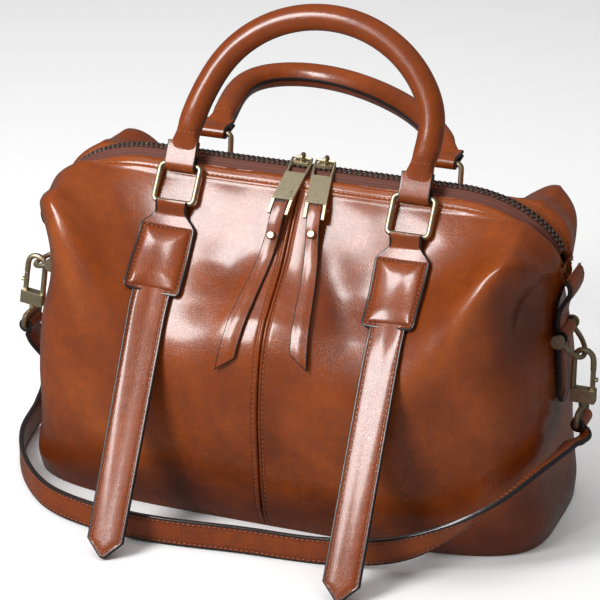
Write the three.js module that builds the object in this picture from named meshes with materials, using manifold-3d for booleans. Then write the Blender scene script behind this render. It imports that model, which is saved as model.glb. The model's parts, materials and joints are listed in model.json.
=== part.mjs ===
// A soft leather boston bag with two rolled handles, a top zip, two belts and a clipped shoulder strap.
// Millimetres, Z up. X runs along the zip, Y from the front to the back.
// The origin is the middle of the base, on the surface that the bag stands on.

import * as THREE from "three";
import { mergeVertices } from "three/addons/utils/BufferGeometryUtils.js";
import Module from "manifold-3d";

const wasm = await Module();
wasm.setup();

// Body
const halfLength = 170;
const halfDepth = 75;
const height = 215;
const leather = 2.5;
const seamGap = 0.3;
const seamPlace = 1;
const trimGap = 0.45;
const gap = 0.3;
const cornerAlong = 0.88;
const frontCornerEnd = 1.08;
const backCornerEnd = 1;

// Zip
const slotHalf = 10;
const chainHalf = 4;
const chainThick = 3;
const tapeThick = 1.4;
const zipStraight = 100;
const zipDrop = 47;
const zipStop = 3;
const lipDrop = 4.5;
const tapeInset = 0.6;
const tapeSink = 0.6;
const chainLift = 0.8;

// Sliders and pulls
const sliderLength = 10;
const sliderThick = 2.2;
const sliderLip = 1;
const sliderSpacing = 15.6;
const sliderMiddle = 5.7;
const sliderNose = 0.75;
const sliderWaist = 0.3;
const crownRadius = 1.1;
const crownHalf = 2.6;
const bailRadius = 1;
const bailHalf = 6.4;
const bailStraight = 6.5;
const bailLength = 12;
const pullSlope = 36;
const plateWidth = 13.4;
const plateLength = 20;
const plateThick = 2.4;
const plateShoulder = 2;
const plateFoot = bailLength + plateLength;
const plateFootDrop = 25;
const plateLeave = 2;
const plateLand = 14;
const stripSettle = 30;
const prongWidth = 1.8;
const prongLength = 6;
const stripWidth = 11.5;
const stripThick = 1.8;
const stripLift = 6;
const restLift = 1.9;
const stripSlant = 9;
const stripSteps = 10;
const stripMiddle = 0.6;
const pullLength = 122;
const rivetRadius = 3.1;
const rivetHigh = 1.6;
const rivetSeat = 1.05;

// Handles and their rings
const handleSpread = 77;
const handleRise = 102;
const handleArch = 72;
const handleRadius = 8;
const footWidth = 20;
const footLength = 24;
const footShares = [0, 0.25, 0.55];
const ringWire = 1.75;
const ringWidth = 26.6;
const ringPitch = 24.3;
const ringCorner = 3;
const frontRingAngle = 36;
const frontHandleAngle = 20.8;
const backRingAngle = 7;
const backHandleAngle = 85.5;
const backHandleSkew = -36;
const frontLegShift = 8;
const backLegShift = -14;
const loopLeather = 2;
const archSteps = 12;
const handleFacets = 8;

// Tabs and belts
const neckDrop = 28;
const tabLength = 60;
const tabWidth = 36;
const neckWidth = 21;
const tabThick = 5;
const tabLift = 0.5;
const neckLength = 12;
const tabSteps = 6;
const beltWidth = 24;
const beltThick = 2.8;
const beltTuck = 14;
const beltReach = 77;
const beltPoint = 11;
const beltNose = 3;
const beltLeave = 19;
const beltSteps = 6;
const beltShares = [0.35, 0.7];

// End tabs, D-rings and dog clips
const endTabThick = 3;
const endTabLift = 1.5;
const endTabTop = 3;
const endTabLength = 86;
const endTabWidth = 21;
const bowSteps = 8;
const pinDrop = 36;
const pinRadius = 2.2;
const bowWire = 1.8;
const bowHalf = 13.4;
const bowDepth = 19;
const headRadius = 4.6;
const headThick = 2.4;
const hookWire = 2.1;
const hookHalf = 6.2;
const hookDrop = 31;
const hookBase = 9;
const hookNose = 9;
const hookCheek = 1.4;
const hookSteps = 6;
const postRadius = 1.2;
const postDepth = 4;
const collarRadius = 2.4;
const collarLength = 3;
const gateWidth = 3.2;
const gateThick = 2.6;
const gatePin = 0.8;
const gateSink = 1.7;
const gateBarrel = 2.1;
const thumbRadius = 1.45;
const thumbOut = 0.5;
const thumbPlace = 0.6;
const swivelWire = 1.6;
const swivelCorner = 2.1;
const swivelRoom = 1;
const swivelDrop = 13;

// Shoulder strap
const strapWidth = 18;
const strapThick = 3;
const strapSteps = 50;
const strapSeat = 0.4;

const leftSide = -1;
const rightSide = 1;
const sides = [
  { name: "left", sign: leftSide, droop: 20, clipTilt: 8 },
  { name: "right", sign: rightSide, droop: 48, clipTilt: 0 },
];

const leatherMaterial = new THREE.MeshStandardMaterial({ color: 0xa5521f, roughness: 0.35, metalness: 0 });
const tapeMaterial = new THREE.MeshStandardMaterial({ color: 0x6d3324, roughness: 0.9, metalness: 0 });
const brassMaterial = new THREE.MeshStandardMaterial({ color: 0x8f8468, roughness: 0.35, metalness: 1 });
const teethMaterial = new THREE.MeshStandardMaterial({ color: 0x6b645c, roughness: 0.4, metalness: 1 });

const bag = new THREE.Group();

function addPiece(parent, name, shape, material) {
  const piece = new THREE.Mesh(shape, material.clone());
  piece.name = name;
  parent.add(piece);
  return piece;
}

function point(x, y, z) {
  return new THREE.Vector3(x, y, z);
}

function mix(from, to, share) {
  return from + (to - from) * share;
}

function smooth(from, to, value) {
  const share = THREE.MathUtils.clamp((value - from) / (to - from), 0, 1);
  return share * share * (3 - 2 * share);
}

function radians(degrees) {
  return THREE.MathUtils.degToRad(degrees);
}

// A closed skin from corners and triangles, with its faces turned outward.
function skin(corners, triangles) {
  const places = new Float32Array(corners.length * 3);
  corners.forEach((corner, k) => corner.toArray(places, k * 3));
  const raw = new THREE.BufferGeometry();
  raw.setAttribute("position", new THREE.BufferAttribute(places, 3));
  raw.setIndex(triangles.flat());
  const merged = mergeVertices(raw, 1e-4);
  const index = merged.getIndex().array;
  const position = merged.getAttribute("position");
  const kept = [];
  let volume = 0;
  const [a, b, c] = [point(), point(), point()];
  for (let k = 0; k < index.length; k += 3) {
    const [i, j, l] = [index[k], index[k + 1], index[k + 2]];
    if (i === j || j === l || l === i) {
      continue;
    }
    kept.push([i, j, l]);
    a.fromBufferAttribute(position, i);
    b.fromBufferAttribute(position, j);
    c.fromBufferAttribute(position, l);
    volume += a.dot(b.cross(c));
  }
  merged.setIndex(kept.flatMap(([i, j, l]) => (volume < 0 ? [i, l, j] : [i, j, l])));
  merged.computeVertexNormals();
  return merged;
}

// A solid through rings of corners, each ring convex, its ends capped or joined in a circle.
function loft(rings, joined = false) {
  const count = rings[0].length;
  const triangles = [];
  const last = joined ? rings.length : rings.length - 1;
  for (let r = 0; r < last; r += 1) {
    const next = (r + 1) % rings.length;
    for (let k = 0; k < count; k += 1) {
      const step = (k + 1) % count;
      const [a, b] = [r * count + k, r * count + step];
      const [c, d] = [next * count + step, next * count + k];
      triangles.push([a, b, c], [a, c, d]);
    }
  }
  if (!joined) {
    const far = (rings.length - 1) * count;
    for (let k = 1; k < count - 1; k += 1) {
      triangles.push([0, k + 1, k], [far, far + k, far + k + 1]);
    }
  }
  return skin(rings.flat(), triangles);
}

// A sheet with thickness between two grids of corners.
function sheet(outer, inner) {
  const rows = outer.length;
  const columns = outer[0].length;
  const corners = [...outer.flat(), ...inner.flat()];
  const at = (layer, r, c) => (layer * rows + r) * columns + c;
  const triangles = [];
  const quad = (a, b, c, d) => triangles.push([a, b, c], [a, c, d]);
  for (let r = 0; r < rows - 1; r += 1) {
    for (let c = 0; c < columns - 1; c += 1) {
      quad(at(0, r, c), at(0, r, c + 1), at(0, r + 1, c + 1), at(0, r + 1, c));
      quad(at(1, r, c), at(1, r + 1, c), at(1, r + 1, c + 1), at(1, r, c + 1));
    }
  }
  for (let r = 0; r < rows - 1; r += 1) {
    const end = columns - 1;
    quad(at(0, r, 0), at(0, r + 1, 0), at(1, r + 1, 0), at(1, r, 0));
    quad(at(0, r, end), at(1, r, end), at(1, r + 1, end), at(0, r + 1, end));
  }
  for (let c = 0; c < columns - 1; c += 1) {
    const end = rows - 1;
    quad(at(0, 0, c), at(1, 0, c), at(1, 0, c + 1), at(0, 0, c + 1));
    quad(at(0, end, c), at(0, end, c + 1), at(1, end, c + 1), at(1, end, c));
  }
  return skin(corners, triangles);
}

function solidOf(shape) {
  const bare = shape.clone();
  bare.deleteAttribute("normal");
  bare.deleteAttribute("uv");
  const merged = mergeVertices(bare, 1e-4);
  const mesh = new wasm.Mesh({
    numProp: 3,
    vertProperties: Float32Array.from(merged.getAttribute("position").array),
    triVerts: Uint32Array.from(merged.getIndex().array),
  });
  return new wasm.Manifold(mesh);
}

function shapeOf(solid) {
  const mesh = solid.getMesh();
  const shape = new THREE.BufferGeometry();
  shape.setAttribute("position", new THREE.BufferAttribute(Float32Array.from(mesh.vertProperties), 3));
  shape.setIndex(Array.from(mesh.triVerts));
  shape.computeVertexNormals();
  return shape;
}

function join(...shapes) {
  return shapeOf(shapes.map(solidOf).reduce((whole, next) => whole.add(next)));
}

function cut(shape, ...tools) {
  return shapeOf(tools.map(solidOf).reduce((whole, next) => whole.subtract(next), solidOf(shape)));
}

// A cylinder along X, Y or Z, its flats no nearer to the axis than the radius where it is a bore.
function rod(axis, radius, length, facets = 12, bore = false) {
  const grown = bore ? radius / Math.cos(Math.PI / facets) : radius;
  const shape = new THREE.CylinderGeometry(grown, grown, length, facets);
  if (axis === "x") {
    return shape.rotateZ(Math.PI / 2);
  }
  return axis === "z" ? shape.rotateX(Math.PI / 2) : shape;
}

function box(from, to) {
  const size = to.clone().sub(from);
  const middle = from.clone().add(to).multiplyScalar(0.5);
  return new THREE.BoxGeometry(size.x, size.y, size.z).translate(middle.x, middle.y, middle.z);
}

// A round wire through points that lie in one plane, whose normal is given.
function wire(points, radius, normal, facets = 8, joined = false) {
  const rings = points.map((here, k) => {
    const before = points[joined ? (k + points.length - 1) % points.length : Math.max(k - 1, 0)];
    const after = points[joined ? (k + 1) % points.length : Math.min(k + 1, points.length - 1)];
    const along = after.clone().sub(before).normalize();
    const across = normal.clone().cross(along).normalize();
    const ring = [];
    for (let f = 0; f < facets; f += 1) {
      const turn = (2 * Math.PI * f) / facets;
      ring.push(
        here
          .clone()
          .addScaledVector(across, radius * Math.cos(turn))
          .addScaledVector(normal, radius * Math.sin(turn))
      );
    }
    return ring;
  });
  return loft(rings, joined);
}

// A rounded rectangle of points in the plane of two directions.
function roundedLoop(width, tall, corner, right, up, steps = 2) {
  const points = [];
  const centres = [
    [1, 1, 0],
    [-1, 1, 1],
    [-1, -1, 2],
    [1, -1, 3],
  ];
  for (const [a, b, quarter] of centres) {
    for (let k = 0; k <= steps; k += 1) {
      const turn = (quarter + k / steps) * (Math.PI / 2);
      const along = a * (width / 2 - corner) + corner * Math.cos(turn);
      const high = b * (tall / 2 - corner) + corner * Math.sin(turn);
      points.push(point(0, 0, 0).addScaledVector(right, along).addScaledVector(up, high));
    }
  }
  return points;
}

// Height of the zip line. It runs level, then follows a quarter ellipse down each end.
function zipHeight(x) {
  const past = Math.max(0, Math.abs(x) - zipStraight) / (halfLength - zipStraight);
  return height - zipDrop * (1 - Math.sqrt(Math.max(0, 1 - past * past)));
}

// The body in rings round it, from the zip's slot down to the middle of the base.
// end and side are the ring's reach as shares of halfLength and halfDepth, and square how boxy it is.
// middle, tab, corner and close are its heights there as shares of the height.
const zipRow = { end: 1, side: slotHalf / halfDepth, square: 5 };
const bodyRows = [
  { end: 1.004, side: 0.29, square: 4.6, middle: 0.915, tab: 0.915, corner: 0.955, close: 0.758 },
  { end: 1.008, side: 0.6, square: 4.6, middle: 0.775, tab: 0.76, corner: 0.935, close: 0.748 },
  { end: 1.008, side: 0.86, square: 4.6, middle: 0.688, tab: 0.655, corner: 0.935, close: 0.735 },
  { end: 1.0, side: 1.02, square: 4.6, middle: 0.63, tab: 0.575, corner: 0.905, close: 0.71 },
  { end: 0.985, side: 1.13, square: 4.2, middle: 0.54, tab: 0.48, corner: 0.77, close: 0.64 },
  { end: 0.985, side: 1.19, square: 4.2, middle: 0.38, tab: 0.35, corner: 0.43, close: 0.42 },
  { end: 0.99, side: 1.15, square: 4.2, middle: 0.2, tab: 0.19, corner: 0.2, close: 0.2 },
  { end: 1.02, side: 1.08, square: 4.2, middle: 0.055, tab: 0.055, corner: 0.055, close: 0.055 },
  { end: 1.015, side: 1.0, square: 4.2, middle: 0, tab: 0, corner: 0, close: 0 },
  { end: 0.55, side: 0.55, square: 4.2, middle: 0, tab: 0, corner: 0, close: 0 },
  { end: 0, side: 0, square: 4.2, middle: 0, tab: 0, corner: 0, close: 0 },
];

// Hollows in the skin: their middle as shares of halfLength, halfDepth and height, their
// half width along each axis in the same shares, and their depth as a share of halfDepth.
const hollows = [
  { x: 0.93, y: -0.55, z: 0.7, wide: 0.16, deep: 0.4, high: 0.16, depth: 0.2 },
  { x: 0.93, y: 0.55, z: 0.7, wide: 0.16, deep: 0.4, high: 0.16, depth: 0.14 },
  { x: -0.93, y: -0.55, z: 0.7, wide: 0.16, deep: 0.4, high: 0.16, depth: 0.16 },
  { x: -0.93, y: 0.55, z: 0.7, wide: 0.16, deep: 0.4, high: 0.16, depth: 0.14 },
  { x: 0.28, y: -0.72, z: 0.71, wide: 0.16, deep: 0.3, high: 0.1, depth: 0.035 },
  { x: -0.2, y: -0.62, z: 0.76, wide: 0.12, deep: 0.3, high: 0.1, depth: 0.03 },
  { x: 0.66, y: -1.1, z: 0.4, wide: 0.14, deep: 0.3, high: 0.25, depth: 0.05 },
];

// A place on one ring. Along is 0 at the seam, 1 at the corner and 2 at the end.
function ringPlace(row, along, face = -1) {
  const reach = row.end * halfLength;
  const side = row.side * halfDepth;
  const corner = Math.pow(0.5, 1 / row.square);
  let x = reach * corner * along;
  let y = side * corner * (2 - along);
  if (along <= 1) {
    y = side * Math.pow(1 - Math.pow(corner * along, row.square), 1 / row.square);
  } else {
    x = reach * Math.pow(1 - Math.pow(corner * (2 - along), row.square), 1 / row.square);
  }
  if (row.middle === undefined) {
    return point(x, y, zipHeight(x) - lipDrop);
  }
  const atTab = handleSpread / (halfLength * cornerAlong);
  const flank = mix(row.middle, row.tab, smooth(0, atTab, along));
  const cornerEnd = face < 0 ? frontCornerEnd : backCornerEnd;
  const rise = mix(flank, row.corner, Math.pow(smooth(atTab * 0.85, cornerEnd, along), 1.15));
  const share = mix(rise, row.close, Math.pow(THREE.MathUtils.clamp(along - 1, 0, 1), 0.8));
  return point(x, y, share * height);
}

// One place on the skin, along the ring and down the rows, without the hollows.
function plainPlace(along, down, face = -1) {
  const rows = [zipRow, ...bodyRows];
  const whole = Math.min(Math.floor(down), rows.length - 2);
  const share = down - whole;
  const pick = (k) => ringPlace(rows[THREE.MathUtils.clamp(k, 0, rows.length - 1)], along, face);
  const [p0, p1, p2, p3] = [pick(whole - 1), pick(whole), pick(whole + 1), pick(whole + 2)];
  const flat = p1.z === 0 || p2.z === 0;
  const turn = (key) => {
    if (flat) {
      return mix(p1[key], p2[key], share);
    }
    const [a, b] = [(p2[key] - p0[key]) / 2, (p3[key] - p1[key]) / 2];
    const cubic = 2 * p1[key] - 2 * p2[key] + a + b;
    const square = -3 * p1[key] + 3 * p2[key] - 2 * a - b;
    return ((cubic * share + square) * share + a) * share + p1[key];
  };
  return point(turn("x"), turn("y"), turn("z"));
}

// The skin's place and outward direction at a side and a face, with the hollows pressed in.
function bodyPlace(sign, face, along, down) {
  const step = 0.02;
  const place = (a, d) => {
    const [inA, inD] = [THREE.MathUtils.clamp(a, 0, 2), THREE.MathUtils.clamp(d, 0, bodyRows.length)];
    const here = plainPlace(inA, inD, face);
    return point(here.x * sign, here.y * face, here.z);
  };
  const here = place(along, down);
  const across = place(along + step, down).sub(place(along - step, down));
  const below = place(along, down + step).sub(place(along, down - step));
  const out = across.cross(below).normalize();
  if (along > 2 - step) {
    out.y = 0;
    out.normalize();
  }
  const away = out.dot(point(here.x, here.y, here.z - height * 0.4));
  if (away < 0 || (here.z === 0 && out.z > 0)) {
    out.negate();
  }
  let press = 0;
  for (const hollow of hollows) {
    const dx = (here.x / halfLength - hollow.x) / hollow.wide;
    const dy = (here.y / halfDepth - hollow.y) / hollow.deep;
    const dz = (here.z / height - hollow.z) / hollow.high;
    press += hollow.depth * halfDepth * Math.exp(-(dx * dx + dy * dy + dz * dz));
  }
  here.addScaledVector(out, here.z === 0 ? 0 : -press);
  return { here, out };
}

const downSteps = [0, 1, 1.5, 2, 2.5, 3, 3.5, 4, 4.5, 5, 5.5, 6, 7, 8, 9, 11];
const alongSteps = [0, 0.2, 0.38, 0.53, 0.66, 0.78, 0.89, 1, 1.12, 1.26, 1.42, 1.6, 1.8];

// The stations from the front seam round the end to the back seam.
function stations() {
  const front = alongSteps.map((along) => ({ face: -1, along }));
  const back = alongSteps.map((along) => ({ face: 1, along })).reverse();
  return [...front, { face: -1, along: 2 }, ...back];
}

// One half of the body as a grid, moved along its outward direction. The slot's rim is cut square.
function bodyGrid(sign, offset, rim = 0) {
  return downSteps.map((down) =>
    stations().map(({ face, along }) => {
      const { here, out } = bodyPlace(sign, face, along, down);
      const flat = here.z === 0;
      const away = down === 0 ? point(0, 0, 1) : out;
      const moved = here.clone().addScaledVector(away, flat ? 0 : offset);
      if (down === 0) {
        moved.add(along === 2 ? point(-sign * rim, 0, 0) : point(0, -face * rim, 0));
      }
      moved.z = flat ? -offset : Math.max(moved.z, offset < 0 ? -offset : 0);
      const seam = seamPlace + (sign * seamGap) / 2;
      if (along === 0 || (moved.x - seam) * sign < 0) {
        moved.x = seam;
      }
      return moved;
    })
  );
}

for (const { name, sign } of sides) {
  addPiece(bag, `body_${name}`, sheet(bodyGrid(sign, 0), bodyGrid(sign, -leather)), leatherMaterial);
}

// The skin's section at one distance along the zip, as places with their distance down from the slot.
const sectionStep = 0.25;
const sectionEnd = 7;

function seek(low, high, reached) {
  let [from, to] = [low, high];
  for (let k = 0; k < 30; k += 1) {
    const middle = (from + to) / 2;
    [from, to] = reached(middle) ? [from, middle] : [middle, to];
  }
  return (from + to) / 2;
}

function measured(places) {
  let drop = 0;
  return places.map((place, k) => {
    drop += k ? place.here.distanceTo(places[k - 1].here) : 0;
    return { ...place, drop };
  });
}

function sectionAt(x, face) {
  const places = [];
  for (let down = 0; down <= sectionEnd; down += sectionStep) {
    const along = seek(0, 1.6, (a) => plainPlace(a, down).x > Math.abs(x));
    const place = bodyPlace(Math.sign(x) || 1, face, along, down);
    place.here.x = x;
    place.out.x = 0;
    place.out.normalize();
    places.push(place);
  }
  return measured(places);
}

// The section down the middle of one end.
function endSectionAt(sign) {
  const places = [];
  for (let down = 0; down <= sectionEnd; down += sectionStep) {
    places.push(bodyPlace(sign, -1, 2, down));
  }
  return measured(places);
}

// The place at a distance down a section, lifted off the skin.
function on(section, drop, lift) {
  let k = 1;
  while (k < section.length - 1 && section[k].drop < drop) {
    k += 1;
  }
  const [before, after] = [section[k - 1], section[k]];
  const share = (drop - before.drop) / (after.drop - before.drop);
  const out = before.out.clone().lerp(after.out, THREE.MathUtils.clamp(share, 0, 1)).normalize();
  const here = before.here.clone().lerp(after.here, share).addScaledVector(out, lift);
  return { here, out };
}

// The whole body grown by a clearance, which pieces that lie on it are trimmed with.
const grownBody = sides.map(({ sign }) =>
  sheet(bodyGrid(sign, trimGap, trimGap), bodyGrid(sign, -leather - trimGap, trimGap))
);

// A place beside the zip line, lifted square to it
function zipPlace(x, y, lift) {
  const slope = zipHeight(x + 0.5) - zipHeight(x - 0.5);
  const out = point(-slope, 0, 1).normalize();
  return point(x, y, zipHeight(x)).addScaledVector(out, lift);
}

const zipEnd = halfLength - zipStop;
const oneWay = alongSteps
  .map((along) => ringPlace(zipRow, along))
  .filter((place) => place.x < zipEnd - 1)
  .map(({ x, y }) => ({ x, edge: y }));
const lastEdge = slotHalf * Math.pow(1 - Math.pow(zipEnd / halfLength, zipRow.square), 1 / zipRow.square);
oneWay.push({ x: zipEnd, edge: lastEdge });
const zipStations = [...oneWay.slice(1).map(({ x, edge }) => ({ x: -x, edge })).reverse(), ...oneWay];

for (const [name, face] of [["front", -1], ["back", 1]]) {
  const layer = (sink) =>
    [0, 1].map((outer) =>
      zipStations.map(({ x, edge }) => {
        const y = outer ? edge - tapeInset : chainHalf + gap;
        return zipPlace(x, face * y, -sink - (outer ? lipDrop : 0));
      })
    );
  addPiece(bag, `zip_tape_${name}`, sheet(layer(tapeSink), layer(tapeSink + tapeThick)), tapeMaterial);
}

const chainLayer = (lift) =>
  [-1, 1].map((face) => zipStations.map(({ x }) => zipPlace(x, face * chainHalf, lift)));
addPiece(bag, "zip_chain", sheet(chainLayer(chainLift), chainLayer(chainLift - chainThick)), teethMaterial);

// Sliders, each with a crown that the pull's bail passes under
const sliderTop = chainLift + gap + sliderThick;
const crownClear = 2 * bailRadius + 3 * gap;
const bailHeight = sliderTop + 2 * gap + bailRadius;
const plateSlope = radians(pullSlope);

function sliderShape() {
  const half = sliderLength / 2;
  const wide = chainHalf + sliderLip;
  const outline = new THREE.Shape([
    new THREE.Vector2(-half, -wide * sliderNose),
    new THREE.Vector2(-half * sliderWaist, -wide),
    new THREE.Vector2(half, -wide),
    new THREE.Vector2(half, wide),
    new THREE.Vector2(-half * sliderWaist, wide),
    new THREE.Vector2(-half, wide * sliderNose),
  ]);
  const plate = new THREE.ExtrudeGeometry(outline, { depth: sliderThick, bevelEnabled: false });
  plate.translate(0, 0, chainLift + gap);
  const top = sliderTop + crownClear + crownRadius;
  const foot = sliderTop - sliderThick / 2;
  const crown = wire(
    [
      point(0, -crownHalf, foot),
      point(0, -crownHalf, top - crownRadius),
      point(0, -crownHalf + crownRadius, top),
      point(0, crownHalf - crownRadius, top),
      point(0, crownHalf, top - crownRadius),
      point(0, crownHalf, foot),
    ],
    crownRadius,
    point(1, 0, 0)
  );
  return join(plate, crown);
}

// The pull's own line, measured from the bail: straight over the lip, then down on the skin.
function pullSpot(pull, section, length) {
  const flat = point(0, -Math.cos(plateSlope), -Math.sin(plateSlope));
  const stiff = point(0, 0, bailHeight + zipHeight(0)).addScaledVector(flat, length);
  const drop = length - plateFoot + plateFootDrop;
  const lift = mix(stripLift, restLift, smooth(plateFoot, plateFoot + stripSettle, length));
  const soft = on(section, Math.max(drop, 0), lift);
  const share = smooth(plateFoot - plateLeave, plateFoot + plateLand, length);
  const here = stiff.lerp(soft.here, share);
  const out = point(0, -Math.sin(plateSlope), Math.cos(plateSlope)).lerp(soft.out, share).normalize();
  here.x = pull.lean * Math.max(0, length - bailStraight);
  return { here, out };
}

// Each pull leans to its side, and its strip and rivet reach a share of the pull's length.
const pulls = [
  { name: "left", sign: -1, lean: -0.15, reach: 1.08, rivet: 0.39 },
  { name: "right", sign: 1, lean: 0.11, reach: 1.015, rivet: 0.36 },
];

for (const pull of pulls) {
  const x = sliderMiddle + (pull.sign * sliderSpacing) / 2;
  const slider = addPiece(bag, `slider_${pull.name}`, sliderShape(), brassMaterial);
  slider.position.set(x, 0, zipHeight(x));
  slider.rotation.z = pull.sign < 0 ? 0 : Math.PI;

  const stripEnd = pull.reach * pullLength;
  const rivetPlace = pull.rivet * pullLength;
  const section = sectionAt(x + pull.lean * pullLength * stripMiddle, -1);
  const hinge = new THREE.Group();
  hinge.position.set(x, 0, zipHeight(x) + bailHeight);
  bag.add(hinge);
  const local = (length, across, lift) => {
    const { here, out } = pullSpot(pull, section, length);
    here.addScaledVector(out, lift);
    here.x += across;
    here.z -= zipHeight(x) + bailHeight;
    return here;
  };

  const slab = (from, to, left, right) =>
    sheet(
      [from, to].map((length) => [left, right].map((across) => local(length, across, plateThick / 2))),
      [from, to].map((length) => [left, right].map((across) => local(length, across, -plateThick / 2)))
    );
  const half = plateWidth / 2;
  const shoulder = bailLength + plateShoulder;
  const bail = wire(
    [
      local(shoulder, -half + bailRadius, 0),
      local(bailStraight, -bailHalf, 0),
      local(bailRadius, -bailHalf, 0),
      local(0, -bailHalf + bailRadius, 0),
      local(0, bailHalf - bailRadius, 0),
      local(bailRadius, bailHalf, 0),
      local(bailStraight, bailHalf, 0),
      local(shoulder, half - bailRadius, 0),
    ],
    bailRadius,
    point(0, -Math.sin(plateSlope), Math.cos(plateSlope))
  );
  const prongs = [-1, 1].map((k) => {
    const [near, far] = [k * half, k * (half - prongWidth)];
    return slab(plateFoot - 1, plateFoot + prongLength, Math.min(near, far), Math.max(near, far));
  });
  const plate = join(slab(bailLength, plateFoot, -half, half), bail, ...prongs);
  addPiece(hinge, `pull_plate_${pull.name}`, plate, brassMaterial);

  const stripStart = plateFoot + gap;
  const stripLayer = (lift) => {
    const rows = [];
    for (let k = 0; k <= stripSteps; k += 1) {
      const share = k / stripSteps;
      const wide = mix(plateWidth - 2 * prongWidth - 2 * gap, stripWidth, smooth(0.05, 0.9, share));
      rows.push(
        [-0.5, 0, 0.5].map((across) => {
          const slant = share === 1 ? pull.sign * across * stripSlant : 0;
          return local(mix(stripStart, stripEnd + slant, share), across * wide, lift);
        })
      );
    }
    return rows;
  };
  const strip = sheet(stripLayer(stripThick / 2), stripLayer(-stripThick / 2));
  addPiece(hinge, `pull_strip_${pull.name}`, strip, leatherMaterial);

  const rivet = addPiece(
    hinge,
    `pull_rivet_${pull.name}`,
    new THREE.CylinderGeometry(rivetRadius * 0.7, rivetRadius, rivetHigh, 12),
    brassMaterial
  );
  const seat = pullSpot(pull, section, rivetPlace);
  rivet.position.copy(local(rivetPlace, 0, stripThick / 2 + rivetSeat + rivetHigh / 2));
  rivet.quaternion.setFromUnitVectors(point(0, 1, 0), seat.out);
}

// Tabs with the loops that hold the rings' lower bars
const loopRadius = ringWire + gap + loopLeather;
const loopBore = ringWire + gap;
const pivots = {};

function tabWidthAt(drop) {
  return mix(neckWidth, tabWidth, smooth(0, neckLength, drop));
}

for (const [name, face] of [["front", -1], ["back", 1]]) {
  const seat = on(sectionAt(handleSpread, face), neckDrop, loopRadius + gap);
  pivots[name] = seat.here;
  for (const { name: side, sign } of sides) {
    const x = sign * handleSpread;
    const lanes = [-0.5, 0, 0.5];
    const layer = (lift) => {
      const rows = [];
      for (let k = 0; k <= tabSteps; k += 1) {
        const drop = (tabLength * k) / tabSteps;
        rows.push(
          lanes.map((lane) => {
            const across = x + lane * tabWidthAt(drop);
            return on(sectionAt(across, face), neckDrop + drop, lift).here;
          })
        );
      }
      return rows;
    };
    const loop = rod("x", loopRadius, neckWidth).translate(x, seat.here.y, seat.here.z);
    const bore = rod("x", loopBore, neckWidth * 2, 12, true).translate(x, seat.here.y, seat.here.z);
    const flat = sheet(layer(tabLift + tabThick), layer(tabLift));
    const tools = [bore, ...grownBody];
    if (face < 0) {
      tools.push(beltSheet(x, gap));
    }
    addPiece(bag, `tab_${name}_${side}`, cut(join(flat, loop), ...tools), leatherMaterial);
  }
}

// Belts: tucked under the front tabs, over the shoulder, then straight down to the ground in front
function beltLane(x, lane, grow) {
  const section = sectionAt(x + (lane * beltWidth) / 2, -1);
  const start = neckDrop + tabLength - beltTuck - grow;
  const leave = neckDrop + tabLength + beltLeave;
  const lift = tabLift + beltThick / 2;
  const route = [];
  for (let k = 0; k <= beltSteps; k += 1) {
    route.push(on(section, mix(start, leave, k / beltSteps), lift));
  }
  const from = route[beltSteps].here;
  const reach = halfDepth + beltReach + from.y;
  const slope = Math.atan2(from.z, reach);
  const tip = point(from.x, from.y - reach, (beltThick / 2) * Math.cos(slope) + gap / 2);
  const out = point(0, tip.z - from.z, reach).normalize();
  const length = from.distanceTo(tip);
  route[beltSteps].out.add(out).normalize();
  for (const share of [...beltShares, 1 - beltPoint / length, 1]) {
    route.push({ here: from.clone().lerp(tip, share), out });
  }
  return route.map(({ here, out: away }, k) => {
    const half = (k === route.length - 1 ? beltNose : beltWidth) / 2 + grow;
    here.x = x + lane * half;
    return { here, away };
  });
}

function beltSheet(x, grow) {
  const lanes = [-1, 0, 1].map((lane) => beltLane(x, lane, grow));
  const layer = (side) =>
    lanes.map((lane) =>
      lane.map(({ here, away }) => here.clone().addScaledVector(away, side * (beltThick / 2 + grow)))
    );
  return sheet(layer(1), layer(-1));
}

for (const { name, sign } of sides) {
  const belt = cut(beltSheet(sign * handleSpread, 0), ...grownBody);
  addPiece(bag, `belt_${name}`, belt, leatherMaterial);
}

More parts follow.
